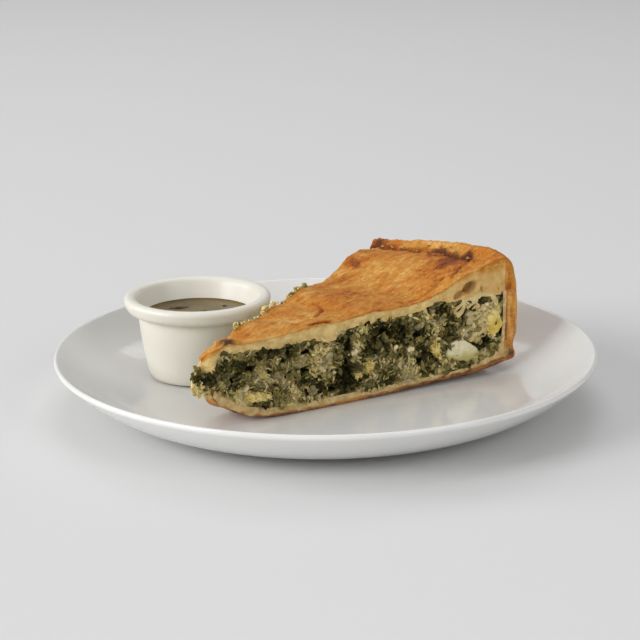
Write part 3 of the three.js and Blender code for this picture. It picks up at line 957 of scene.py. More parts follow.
class PIE_OT_ramekin(bpy.types.Operator):
    """Turn the ramekin with its stepped collar and hollow"""

    bl_idname = "pie.ramekin"
    bl_label = "Ramekin"

    def execute(self, context):
        top = context.scene.pie_pot.height / MM
        foot = [[0, 0.6], [POT_FOOT - 4.4, 0.6], [POT_FOOT - 3.6, 0.45], [POT_FOOT - 3, 0.05]]
        foot.append([POT_FOOT - 0.6, 0.0])
        wall = [[POT_FOOT, 0.15], [22.3, 0.4], [23.0, 1.0], [24.0, 3.5], [25.7, 12], [27.1, 20.6], [28, 28.6]]
        collar = [[28.2, 30.6], [28.6, 31.1], [30.5, 31.5], [32.4, 32.4], [33.6, 33.8], [34.3, 35.8]]
        collar += [[34.5, top - 1.8], [33.9, top - 0.6], [32.4, top], [30.2, top - 0.3], [29.1, top - 1.0]]
        bore = [[pot_bore(z), z] for z in np.linspace(top - 2.2, BORE_BOTTOM, 24)]
        floor = rounded([[19.0, 6.2], [17.5, 5.1], [15, 4.3]], 4) + [[12, 4.2], [0, 4.2]]
        profile = foot + rounded(wall, 5) + rounded(collar, 6) + bore + floor
        pot = turned("ramekin_glazed", profile, POT_SIDES, POT_CENTRE, FINISH["pot"])
        belongs(pot, "cream_glaze", "ramekin")
        return {"FINISHED"}


class PIE_OT_dressing(bpy.types.Operator):
    """Fill the ramekin with dressing, with its edge drawn up the wall, and float a herb on it"""

    bl_idname = "pie.dressing"
    bl_label = "Dressing"

    def execute(self, context):
        level = context.scene.pie_pot.level / MM
        wall = [[pot_bore(z) - GAP, z] for z in np.linspace(BORE_BOTTOM + 0.5, level, 12)]
        edge = wall[-1][0]
        drawn_up = [[edge - 0.35, level - 0.32], [edge - 1.0, level - 0.55], [edge - 2.4, level - 0.68]]
        surface = [[edge - 6, level - 0.7], [8, level - 0.7], [0, level - 0.7]]
        profile = [[0, 4.5], [14.6, 4.5], [17.2, 5.6]] + wall + drawn_up + surface
        dressing = turned("dressing_oil", profile, POT_SIDES, POT_CENTRE, FINISH["dressing"])
        belongs(dressing, "dressing", "dressing")
        herb = []
        t = np.linspace(-0.5, 0.5, 11)
        for x, y, length, heading, wide in HERBS:
            a = math.radians(heading)
            run, bend = length * t, 0.8 * (t * 2) ** 2
            z = POT_CENTRE[2] + level - 0.55 + 0.12 * np.cos(9 * t)
            path = [x + run * math.cos(a) - bend * math.sin(a), y + run * math.sin(a) + bend * math.cos(a), z]
            radii = wide * np.sqrt(np.clip(1 - (2 * t) ** 2, 0.03, 1))
            herb.append((*tube(np.column_stack(path), radii, 8, 0.3), {"tint": 0.55}))
        points, faces, values = join_parts(herb)
        belongs(mesh_piece("dressing_herbs", points, faces, FINISH["herb"], values), "spinach")
        return {"FINISHED"}


# ------------------------------------------------------------------ crusts

# Hollows in the lid's crumb: s, z, half length, half height, lean in degrees, depth.
LID_POCKETS = [
    (147.2, 50.2, 4.6, 2.9, 26, 4.5), (141.2, 47.6, 3.8, 1.9, 28, 2.0), (153.9, 48.6, 0.8, 1.5, 12, 1.6),
    (163.4, 47.4, 0.7, 0.9, 0, 1.0),
]
FAR_POCKETS = [
    (150.0, 48.6, 3.2, 1.5, -14, 3.6), (139.0, 47.0, 2.2, 1.0, -10, 2.4), (160.0, 47.5, 1.2, 0.9, 20, 1.6),
]


def reach(s, z, middle, half, lean=0.0):
    """Distance from the middle of an oval, where 1 is its edge."""
    x, y = s - middle[0], z - middle[1]
    along, up = x * math.cos(lean) + y * math.sin(lean), y * math.cos(lean) - x * math.sin(lean)
    return np.hypot(along / half[0], up / half[1])


def sink(s, z, pockets):
    """How deep and how hollow the cut face is at s, z. The hollowness is painted as shade."""
    depth, hollow = np.zeros_like(s), np.zeros_like(s)
    for *oval, lean, deep in pockets:
        bowl = 1 - smooth(0.45, 1.1, reach(s, z, oval[:2], oval[2:], math.radians(lean)))
        depth = np.maximum(depth, deep * bowl)
        hollow = np.maximum(hollow, smooth(0.2, 0.8, bowl) * min(1.0, deep / 2.8))
    return depth, hollow


def crumb_relief(points, amount):
    """Torn dough: how far a cut face stands in and out."""
    return amount * (0.6 * rough(points, 2.6, 41) + 0.4 * grain(points, 0.9, 42))


def off_cuts(near, far):
    """Moves that stand out from the two cut faces by these amounts."""
    return near[:, None] * NEAR_FACE + far[:, None] * FAR_FACE


def clear_of_cuts(v):
    return smooth(0, 0.03, v) * smooth(0, 0.03, 1 - v)


def radial(v):
    """Straight out from the slice's point."""
    azimuth = np.radians(mix(CUT_NEAR, CUT_FAR, v))
    return np.column_stack([np.cos(azimuth), np.sin(azimuth), 0 * v])


def side_flakes(v, z):
    """Flaky, streaked outside of the side crust: how proud it stands and how it is browned, with painted
    shade in its pits.
    """
    here = np.column_stack([v * ARC, 0 * v, z])
    bent = here + 1.6 * wobble(here, 9, 51, None, 52)
    streak = grain(bent * np.array([1.0, 1, 0.22]), 1.9, 53)
    fine_streak = grain(bent * np.array([1.0, 1, 0.25]), 0.9, 59)
    layer_edge = grain(bent * np.array([0.35, 1, 1.0]), 2.6, 54)
    pit = np.clip(1 - (cells(here, 3.4, 55) / 0.33) ** 2, 0, 1)
    proud = 0.5 * streak + 0.28 * fine_streak + 0.26 * layer_edge + 0.45 * grain(here, 12, 56) - 0.4 * pit
    bake = 0.36 + 0.24 * streak + 0.22 * fine_streak + 0.09 * layer_edge + 0.14 * grain(here, 15, 58)
    # The pits are painted darker: painted shade.
    return proud, bake + 0.2 * pit


def wall_look(s, z):
    """The side crust where it is cut: how much pale crumb shows, and how browned its layers are."""
    strip = np.column_stack([s, 0 * s, z])
    out = s - WALL_CRUMB_END - 0.5 * grain(strip * np.array([0, 0, 1.0]), 5, 65)
    layers = grain(strip * np.array([1.0, 1, 0.16]), 0.95, 66)
    bake = 0.40 + 0.13 * smooth(0.4, 1.6, out) + 0.24 * np.exp(-((out / 0.5) ** 2))
    return 1 - smooth(-0.7, 0.2, out), bake + 0.30 * layers + 0.12 * grain(strip, 4, 67)


class PIE_OT_lid_crust(bpy.types.Operator):
    """Shape the browned top crust with its folded rim, wrinkles, blisters and open crumb"""

    bl_idname = "pie.lid_crust"
    bl_label = "Lid Crust"

    def execute(self, context):
        wanted = context.scene.pie_crust
        nu, nv, nw = wanted.lid_cells, wanted.across_cells, CRUST_LAYERS
        i, j, k, faces, _ = shell(nu, nv, nw)
        inner = nu + 1 - SIDE_STATIONS
        stations = [
            np.linspace(LID_START, LID_MIDDLE, inner // 2 + 1)[:-1],
            np.linspace(LID_MIDDLE, LID_SIDE, inner - inner // 2),
            LID_SIDE + LID_REACH * (1 - (1 - np.linspace(0, 1, SIDE_STATIONS + 1)[1:]) ** 1.35),
        ]
        s, t = np.concatenate(stations)[i], k / nw
        v = mix(0.5 * (1 - smooth(LID_START, 12, s)), 1, graded(nv)[j])
        top, bake, scorch = lid_surface(s, v)
        low = lid_bottom(s, v)
        z = mix(low, top, t)
        on_near, on_far, on_tip = (j == 0) * 1.0, (j == nv) * 1.0, (i == 0) * 1.0
        cut = np.maximum(on_near, np.maximum(on_far, on_tip))
        from_top = top - z
        strip = np.column_stack([s, z, 0 * s])
        ragged = 0.35 * grain(strip, 2.2, 62) + 0.5 * grain(strip, 4.5, 63) * smooth(110, 150, s)
        rind = 0.35 + 3.2 * smooth(148, 160, s) + 1.7 * smooth(4.9, 6.5, s) * (1 - smooth(10, 18, s))
        fade = mix(1.1, 3.2, smooth(125, 158, s))
        crumb = smooth(0, 1, (from_top + ragged - rind) / fade)
        wall_crumb, wall_bake = wall_look(s, z)
        wall = smooth(162, 167, s)
        crumb = np.minimum(crumb, mix(1.0, wall_crumb, wall)) * cut * (1 - 0.38 * smooth(120, 140, s))
        bake = np.where(cut > 0, bake - 0.16 * smooth(0, 3, from_top), bake)
        bake = mix(bake, wall_bake, cut * wall * smooth(1.5, 5, from_top))
        points = place(s - corner_inset(v) * side_share(s), v, z)
        depth_near, hollow_near = sink(s, z, LID_POCKETS)
        depth_far, hollow_far = sink(s, z, FAR_POCKETS)
        edge = smooth(0, 1.2, from_top) * smooth(0, 1.2, z - low)
        torn = crumb_relief(points, 0.6)
        points += off_cuts(edge * on_near * (torn - depth_near), edge * on_far * (torn - depth_far))
        points += (on_tip * edge * 0.8 * rough(points, 2.2, 64))[:, None] * outward(225)
        proud, side_bake = side_flakes(v, z)
        shoulder = smooth(168, 174, s)
        points += (proud * shoulder * clear_of_cuts(v))[:, None] * radial(v)
        bake = mix(bake, side_bake, shoulder * (1 - cut))
        # Painted shade in the hollows of the cut crumb.
        pocket = np.maximum(hollow_near * on_near, hollow_far * on_far) * edge
        values = {"bake": np.clip(bake, 0, 1), "scorch": scorch * smooth(0.8, 1, t)}
        values |= {"crumb": crumb, "pocket": pocket}
        lid = mesh_piece("pie_lid_crust", points, faces, FINISH["lid"], values)
        belongs(lid, "lid_crust", "crust_lid")
        return {"FINISHED"}


class PIE_OT_base_crust(bpy.types.Operator):
    """Shape the bottom crust and the side crust that it turns up into"""

    bl_idname = "pie.base_crust"
    bl_label = "Base Crust"

    def execute(self, context):
        outer = np.array(rounded(CRUST_OUTER, 14))
        inner = np.array(rounded(CRUST_INNER, 14))
        nu, nv, nw = len(outer) - 1, context.scene.pie_crust.across_cells, CRUST_LAYERS
        i, j, k, faces, _ = shell(nu, nv, nw)
        v, t = graded(nv)[j], k / nw
        outer_s, outer_z = outer[i].T
        inner_s, inner_z = inner[i].T
        wall, wall_s = smooth(158, 172, outer_s), mix(outer_s, inner_s, t)
        outer_s = outer_s - corner_inset(v) * side_share(outer_s)
        s, z = mix(outer_s, inner_s, t), mix(outer_z, inner_z, t)
        on_near, on_far = (j == 0) * 1.0, (j == nv) * 1.0
        cut = np.maximum(on_near, on_far)
        from_skin = t * np.hypot(outer_s - inner_s, outer_z - inner_z)
        strip = np.column_stack([s, z, 0 * s])
        ragged = 0.5 * grain(strip, 3.0, 71) + 0.3 * grain(strip, 1.2, 72)
        rind = 0.5 * smooth(60, 120, s) + 1.3 * smooth(136, 158, s) - 0.7 * (1 - smooth(22, 50, s))
        low_crumb = smooth(0.7, 1.9, from_skin + 1.3 * ragged - rind)
        wall_crumb, wall_bake = wall_look(wall_s, z)
        upright = smooth(14, 20, z) * smooth(160, 163, s)
        crumb = np.where(cut > 0, mix(low_crumb, wall_crumb, upright), (t > 0.5) * 1.0)
        points, below = place(s, v, z), place(s, v, 0 * z)
        proud, side_bake = side_flakes(v, z)
        on_skin = (t == 0) * clear_of_cuts(v)
        points += (proud * on_skin * wall)[:, None] * radial(v)
        points[:, 2] += on_skin * (1 - wall) * np.clip(0.30 * grain(below, 7, 73), -0.05, 0.5)
        torn = crumb_relief(points, 0.45) * smooth(0, 0.25, t) * smooth(0, 0.25, 1 - t)
        points += off_cuts(torn * on_near, torn * on_far)
        bottom_bake = 0.66 + 0.14 * smooth(90, 150, s)
        bottom_bake += 0.16 * grain(below, 10, 74) + 0.10 * grain(below, 3, 75)
        bottom_bake += (0.22 + 0.12 * grain(strip, 1.6, 76)) * cut * np.exp(-((from_skin / 0.5) ** 2))
        bake = mix(mix(bottom_bake, side_bake, wall), wall_bake, cut * upright)
        heel = cut * np.exp(-(reach(s, z, HEEL_MIDDLE, HEEL_HALF) ** 2))
        values = {"bake": np.clip(bake + 0.3 * heel, 0, 1), "crumb": crumb * (1 - 0.8 * heel)}
        values |= {"scorch": 0 * s, "pocket": 0 * s}
        base = mesh_piece("pie_base_crust", points, faces, FINISH["base"], values)
        belongs(base, "base_crust", "crust_base")
        return {"FINISHED"}


def on_cut(s, z, far=False, proud=0.0):
    """A point on a cut face, standing proud of it."""
    face = FAR_FACE if far else NEAR_FACE
    return place(float(s), 1.0 if far else 0.0, float(z)) + proud * face


# Knots of s, z on the near cut, thickest radius, how far it stands out. The first six are on both cuts.
DOUGH_STRANDS = [
    ([(153.5, 47.0), (151, 45.0), (145, 41.8), (139.5, 36.2)], 1.7, 0.3),
    ([(148, 45.2), (143.5, 43.2), (139.3, 40.7), (140.3, 36.8)], 1.0, 0.4),
    ([(158, 33.0), (153, 28.6), (147, 24.9)], 1.9, 0.4),
    ([(149.5, 45.9), (155, 46.0), (160.2, 44.1), (162.7, 40.5), (161.7, 36)], 1.2, 0.3),
    ([(152.0, 44.0), (151.0, 40.5), (153.2, 37.2), (156.5, 35.4)], 0.7, -0.2),
    ([(136.5, 45.0), (137.5, 42.6), (140.0, 41.0)], 0.6, 0.2),
    ([(121.8, 44.2), (123, 41.8), (124.4, 39.8)], 0.5, 0.6),
    ([(114.5, 40.9), (116.5, 40.4), (118.5, 39.5)], 0.36, 0.6),
    ([(66, 41.0), (67.5, 38.0), (71, 36.0)], 0.7, 0.3),
    ([(88, 41.2), (92, 39.2), (97, 39.8)], 0.5, 0.3),
    ([(107, 17), (109.5, 12.5), (112, 9.5)], 0.6, 0.5),
    ([(118, 17), (117, 12.5), (119.5, 9.8)], 0.55, 0.5),
]
BOTH_CUTS = 6
# The far cut's strands are drawn in round a place on the slice.
FAR_MIDDLE, FAR_SCALE = 160.0, 0.9


class PIE_OT_dough_strands(bpy.types.Operator):
    """Pull threads and webs of dough between the hollows at the back of the slice"""

    bl_idname = "pie.dough_strands"
    bl_label = "Dough Strands"

    def execute(self, context):
        parts = []
        strands = [(*strand, False) for strand in DOUGH_STRANDS]
        strands += [(*strand, True) for strand in DOUGH_STRANDS[:BOTH_CUTS]]
        for number, (knots, radius, proud, far) in enumerate(strands):
            line = [(mix(FAR_MIDDLE, s, FAR_SCALE) if far else s, z) for s, z in rounded(knots, 7)]
            path = np.array([on_cut(s, z, far, proud - 0.4) for s, z in line])
            path += 0.25 * wobble(path, 2.0, 81 + number, 82 + number, 83 + number)
            t = np.linspace(-1, 1, len(path))
            radii = radius * (0.45 + 0.55 * np.sqrt(1 - 0.9 * t**2)) * (1 + 0.5 * grain(path, 1.8, 84))
            points, faces = tube(path, radii, 10, 0.5, FAR_FACE if far else NEAR_FACE)
            points = points + 0.22 * wobble(points, 1.0, 85, 86, 87)
            parts.append((points, faces, {"tint": 0.5 + 0.3 * grain(points, 2.5, 88)}))
        points, faces, values = join_parts(parts)
        belongs(mesh_piece("dough_strands", points, faces, FINISH["web"], values), "lid_crust")
        return {"FINISHED"}


# Pale flakes on the lid, their paleness partly a painted highlight on the rim's fold: s, azimuth.
PALE_FLAKES = [(164, 56.6), (163.6, 55.4), (163.2, 54.6), (161.4, 41.6), (160.8, 40.6), (161.2, 39.8)]


def share_across(azimuth):
    return (azimuth - CUT_NEAR) / (CUT_FAR - CUT_NEAR)


def on_lid(s, v, lift):
    """A point above the lid's surface."""
    height = lid_surface([s], [v])[0]
    return place(float(s), float(v), float(height[0]) + lift)


def flake(origin, heading, length, width, lift, rng, bake, scorch):
    """One curled, closed flake."""
    a, b = sheet_grid(5, 4)
    ragged = 1 + 0.25 * rng.normal(size=a.shape)
    x = a * length / 2 * (1 - 0.25 * b**2) * ragged
    y = b * width / 2 * (1 - 0.35 * a**2) * ragged
    curl = lift * ((b + 1) / 2) ** 2 + 0.25 * lift * np.cos(2.4 * a + rng.uniform(0, 3))
    half = 0.11 * (1 - 0.7 * np.maximum(np.abs(a), np.abs(b)) ** 2)
    points, faces = thin_sheet(x, y, curl + 0.06 * rng.normal(size=a.shape), half)
    cos, sin = math.cos(heading), math.sin(heading)
    turn = np.array([[cos, -sin, 0], [sin, cos, 0], [0, 0, 1]])
    return points @ turn.T + origin, faces, {"bake": bake, "scorch": scorch, "crumb": 0.0, "pocket": 0.0}


def flake_parts(count, seed):
    """Curled flakes of pastry along the rim's fold, and a few pale ones that are partly a painted highlight.
    """
    rng = np.random.default_rng(seed)
    line = np.array(rounded(RIM_FOLD, 12))
    parts = []
    for _ in range(count):
        n = rng.integers(2, len(line) - 8)
        s = line[n, 0] + rng.normal(0, 1.2)
        v = np.clip(share_across(line[n, 1] + rng.normal(0, 0.6)), 0.03, 0.97)
        step = flat_spot(*line[n + 1]) - flat_spot(*line[n - 1])
        heading = math.atan2(step[1], step[0]) + math.radians(45) + rng.normal(0, 0.4)
        length, width, lift = rng.uniform(1.5, 3.6), rng.uniform(0.8, 1.7), rng.uniform(0.1, 0.6)
        bake, scorch = rng.uniform(0.1, 0.75), rng.uniform(0, 0.6) ** 2
        parts.append(flake(on_lid(s, v, -0.15), heading, length, width, lift, rng, bake, scorch))
    for s, azimuth in PALE_FLAKES:
        heading, length = rng.uniform(0, 3), rng.uniform(2, 3.4)
        origin = on_lid(s, share_across(azimuth), 0.1)
        points, faces, values = flake(origin, heading, length, 1.6, 1.0, rng, 0.0, 0.0)
        parts.append((points, faces, values | {"crumb": 1.0}))
    return parts


class PIE_OT_flakes(bpy.types.Operator):
    """Lay loose, curled flakes of pastry on the folds of the rim"""

    bl_idname = "pie.flakes"
    bl_label = "Pastry Flakes"

    def execute(self, context):
        points, faces, values = join_parts(flake_parts(context.scene.pie_crust.flakes, 5))
        belongs(mesh_piece("pastry_flakes", points, faces, FINISH["lid"], values), "lid_crust")
        return {"FINISHED"}


# ------------------------------------------------------------------ filling

FILLING_TIP = [(1.5, 27.4), (3.5, 25), (6, 22.8), (9, 22), (9.9, 24.4)]
# The filling's cells: where even steps end, how long a step is, and the furthest point out.
HEEL_START, CORE_STEP, FILLING_REACH = 158.0, 0.72, 166.15
# How many cells there are from cut to cut, and upwards.
CORE_ACROSS, CORE_LAYERS = 14, 44
# Pale (above 0) and dark (below 0) places of the filling: s, z, half length, half height, how pale.
FILLING_PATCHES = [
    (26, 18.5, 5, 4, 1.0), (36, 24, 6, 5, 0.7), (56, 29.5, 5, 4, 0.8), (70, 26, 6, 6, 1.0),
    (34, 17, 8, 3, 1.0), (5, 25, 5, 4, 1.0), (48, 22, 5, 3, 0.5), (128, 37, 5, 3.5, 0.9),
    (144, 29, 5, 3, 0.8), (84.5, 30, 2.5, 5, 0.7), (112, 12.5, 8, 3.5, 0.9), (90, 21, 4.5, 3.5, 0.9),
    (105, 27.5, 3, 3, 0.6), (114, 27, 3, 3, 0.6), (152, 29, 6, 5, 0.7), (100, 20, 5, 4, 0.3),
    (60, 16, 6, 3, 0.3), (159, 39, 4, 4, 0.7), (158, 30, 4, 5, 0.6), (129, 31, 3, 4, 0.4),
    (20, 33, 7, 5, -1.0), (78, 26, 4, 11, -1.0), (37, 37, 8, 2.5, -0.9), (99, 36, 7, 3, -1.0),
    (120, 23, 4, 4, -0.7), (115, 33, 5, 3, -0.9), (133, 40, 4, 2.5, -0.6), (59, 34.6, 2.5, 2, -1.0),
    (30, 30, 2.5, 2, -1.0), (39, 28, 2, 2, -1.0), (157, 22, 4, 4, -0.9), (124, 18, 6, 5, -0.5),
    (7, 30, 6, 3, -0.8), (66, 18, 6, 3, -0.3), (44, 35, 5, 3, -0.5), (85, 14, 8, 3, -0.6),
    (137, 33, 4, 4, -0.4), (165, 24, 3, 6, -0.8), (96, 29, 6, 4, -0.4),
]
FAR_PATCHES = [
    (30, 24, 6, 5, 0.8), (52, 28, 6, 5, -0.9), (66, 20, 6, 4, 0.7), (88, 32, 7, 4, -0.9),
    (104, 22, 6, 5, 0.8), (120, 34, 7, 5, -0.8), (134, 22, 6, 5, 0.6), (150, 34, 6, 5, -0.6),
    (156, 22, 5, 5, 0.5), (14, 31, 7, 5, -0.9), (42, 14, 7, 3, 0.7), (82, 14, 7, 3, 0.5),
    (76, 36, 6, 3, 0.6), (112, 14, 8, 3, -0.5), (142, 40, 5, 3, 0.4),
]
# Hollows in the filling: s, z, half length, half height, lean in degrees, depth.
HOLLOWS = [
    (155.4, 43.2, 3.9, 2.4, -12, 2.4), (142.2, 41.2, 2.6, 1.7, 4, 2.4), (58.7, 34.0, 2.8, 2.4, -9, 4.2),
    (30.2, 29.8, 2.6, 1.9, -10, 4.0), (56.5, 25.9, 5.4, 1.3, -25, 3.2), (70.3, 22.8, 3.3, 1.2, -18, 3.0),
    (39.0, 27.7, 1.6, 1.5, 0, 3.4), (20.6, 26.2, 2.2, 1.8, -10, 2.6), (71.5, 14.2, 2.6, 1.4, -10, 2.8),
    (80.5, 33.4, 2.1, 2.8, 8, 2.8), (79.8, 23.1, 1.5, 4.4, 6, 2.6), (118.0, 31.8, 3.0, 1.3, -17, 3.0),
    (98.5, 36.4, 3.4, 1.6, -9, 3.2), (132.1, 45.0, 1.2, 1.0, 0, 2.2), (119.6, 19.6, 1.6, 2.0, 0, 2.8),
    (164.4, 26.5, 1.4, 2.4, 0, 2.2), (156.4, 23.9, 2.2, 1.5, -9, 2.4), (164.2, 41.2, 2.2, 0.6, 35, 2.2),
    (47.0, 31.0, 1.6, 1.2, 20, 2.4),
]
FAR_HOLLOWS = [
    (40, 31, 2.4, 1.1, 12, 2.8), (70, 30, 1.4, 1.2, 0, 2.4), (98, 35, 3.2, 1.0, -8, 2.6),
    (118, 27, 1.2, 2.4, 5, 2.4), (148, 40, 3.0, 1.8, -20, 3.4), (60, 15, 3.0, 0.8, 4, 2.0),
]

# The cut egg: node, on the far cut, how far it stands out, how deep it goes, outline of s, z.
EGG_SHAPES = [
    ("egg_white_1", False, 0.9, 4, [
        (136, 25.2), (139, 25.9), (142.5, 25.7), (147, 23.9), (151, 20.6), (153, 17.6), (150.8, 17.3),
        (149.4, 15.7), (147.4, 14.6), (144, 15.0), (140, 16.1), (136.6, 17.1), (134.4, 18.8), (134.8, 22.6),
    ]),
    ("egg_yolk_1", False, 0.8, 3, [
        (125, 26.1), (126.6, 27.8), (128.6, 27), (130.3, 23.4), (132, 19.3), (130, 18.6), (127.2, 21.2),
        (125.4, 23.6),
    ]),
    ("egg_yolk_2", False, 1.0, 4, [
        (157, 32.6), (158.4, 36), (160.6, 37.9), (163.4, 38.2), (165, 35.6), (165.1, 30), (162.4, 25.2),
        (159.4, 25.6), (157.2, 28.4),
    ]),
    ("egg_yolk_3", False, 0.7, 3, [
        (26.5, 19.4), (29, 20.6), (33, 18.9), (38, 18.2), (41, 16.9), (40, 14.9), (34, 14.8), (29, 16),
    ]),
    ("egg_yolk_4", False, 0.9, 3, [
        (88, 21.4), (89.6, 23.6), (92, 24.1), (94, 22.3), (93.6, 19.8), (91.4, 18.5), (88.8, 19),
    ]),
    ("egg_yolk_4_bit", False, 0.8, 2, [(83.8, 18.9), (85.6, 19.9), (87, 18.8), (86.4, 17.2), (84.4, 17)]),
    ("egg_white_2", True, 0.8, 4, [
        (67, 27), (72, 30), (79, 28.4), (81.6, 24.6), (78, 21), (71, 20.4), (66.6, 23),
    ]),
    ("egg_yolk_5", True, 0.9, 4, [(88, 23), (91, 26), (95.6, 24.6), (96.4, 20.6), (92.4, 18), (88.4, 19.4)]),
    ("egg_yolk_6", True, 0.9, 4, [
        (131, 32), (134, 35), (139.4, 33.6), (141, 29.6), (137, 26.8), (132.2, 28),
    ]),
]
# The bare oval of the large egg white, and where leaves lie over its lower edge.
WHITE_MIDDLE, WHITE_HALF, WHITE_LEAN = (144.6, 21.0), (9.0, 4.7), math.radians(-22)
LEAVES_OVER, LEAVES_HALF = (143.0, 16.4), (2.6, 2.0)
# Lumps for each one that a cluster counts.
ONION_CROWD = 1.5
# Clusters of onion: s, z, half length, half height, how many, tint.
ONION_PATCHES = [
    (35.5, 24.3, 3.8, 3.2, 12, 0.62), (26, 19.8, 1.6, 3.0, 5, 0.9), (55.5, 29.3, 3.0, 2.0, 7, 0.7),
    (69.5, 26.5, 3.6, 3.8, 14, 0.66), (84.5, 30, 1.0, 3.2, 5, 0.85), (105.5, 27.5, 0.9, 0.7, 2, 1.0),
    (114.5, 26.7, 1.0, 1.4, 3, 0.8), (112.5, 12.3, 3.8, 2.4, 10, 0.75), (128.5, 37.4, 2.6, 2.0, 8, 0.6),
    (143.5, 28.2, 3.6, 1.5, 8, 0.6), (152, 31, 2.6, 2.2, 5, 0.6), (47, 21, 3, 1.6, 5, 0.7),
    (62, 15, 4, 1.6, 6, 0.6), (98, 15, 4, 2, 6, 0.5), (157, 39.4, 2.4, 1.6, 5, 0.8),
    (96, 25, 3, 2, 5, 0.55), (18, 22.6, 2, 1.4, 4, 0.75), (147, 36, 2.4, 2, 5, 0.55),
    (76, 39, 3, 1, 5, 0.7), (119, 36, 2, 1.4, 4, 0.65),
]
FAR_ONION = [
    (30, 24, 4, 3, 9, 0.65), (66, 17, 4, 2.4, 8, 0.7), (104, 22, 4, 3, 10, 0.65), (134, 22, 4, 3, 8, 0.6),
    (42, 14, 4, 1.6, 6, 0.8), (56, 31, 3, 2, 6, 0.7), (112, 34, 3, 2, 6, 0.7), (148, 30, 3, 3, 7, 0.6),
    (156, 22, 3, 3, 6, 0.7),
]
# Single large pieces of onion on the near cut: s, z, half length, half height, lean in degrees, tint.
ONION_PIECES = [
    (142.5, 29.6, 3.6, 2.0, 18, 0.42), (128.6, 37.6, 2.6, 2.1, -30, 0.40), (126.4, 42.2, 1.6, 1.4, 0, 0.30),
    (43.5, 24.6, 2.8, 2.2, 40, 0.30), (34.5, 22.0, 3.2, 2.2, -40, 0.42), (69.5, 28.5, 2.6, 2.2, 20, 0.5),
    (84.6, 29.8, 1.2, 3.2, 10, 0.55), (25, 18.6, 1.3, 2.6, 20, 0.6), (150.5, 35.2, 2.2, 1.6, -20, 0.46),
    (159.6, 39.6, 2.0, 1.4, -35, 0.55), (55, 30.4, 2.4, 1.5, 30, 0.52), (113, 12.6, 2.6, 1.7, 0, 0.36),
    (91, 12.6, 2.8, 1.6, -10, 0.2), (98, 28, 2.2, 1.4, 30, 0.32), (106, 18.5, 1.8, 1.3, -30, 0.34),
    (135, 13.6, 2.2, 1.2, 12, 0.34),
]


def kept_bare(s, z, on_near, on_far):
    """Nearly 1 where an egg piece shows, 0 well off it: no leaves lie there."""
    bare = np.zeros_like(s)
    for node, far, _, _, outline in EGG_SHAPES:
        knots = np.array(outline)
        if node == "egg_white_1":
            open_here = 1 - smooth(0.95, 1.2, reach(s, z, WHITE_MIDDLE, WHITE_HALF, WHITE_LEAN))
            open_here *= 1 - np.exp(-(reach(s, z, LEAVES_OVER, LEAVES_HALF) ** 2))
        else:
            half = np.ptp(knots, axis=0) / 2
            open_here = 0.9 * (1 - smooth(0.6, 1.05, reach(s, z, knots.mean(0), half)))
        bare = np.maximum(bare, open_here * (on_far if far else on_near))
    return 0.93 * bare


def patchwork(s, z, patches, seed):
    """How leafy the filling is at s, z: from -1, pale mash, to 1, dark leaf."""
    here = np.column_stack([s, z, 0 * s])
    leafy = 0.95 * grain(here * np.array([0.75, 1, 1]), 5.4, seed) + 0.40 * grain(here, 2.1, seed + 1)
    for *oval, pale in patches:
        leafy = leafy - 1.3 * pale * np.exp(-(reach(s, z, oval[:2], oval[2:]) ** 2))
    return leafy


def filling_floor():
    """The filling's lower line, just inside the crust."""
    line = np.array(rounded(CRUST_INNER, 8))
    before, after = np.roll(line, 1, 0), np.roll(line, -1, 0)
    before[0], after[-1] = line[0], line[-1]
    run = after - before
    run /= np.linalg.norm(run, axis=1, keepdims=True)
    moved = line + 0.05 * np.column_stack([-run[:, 1], run[:, 0]])
    return moved[moved[:, 0] < FILLING_REACH]


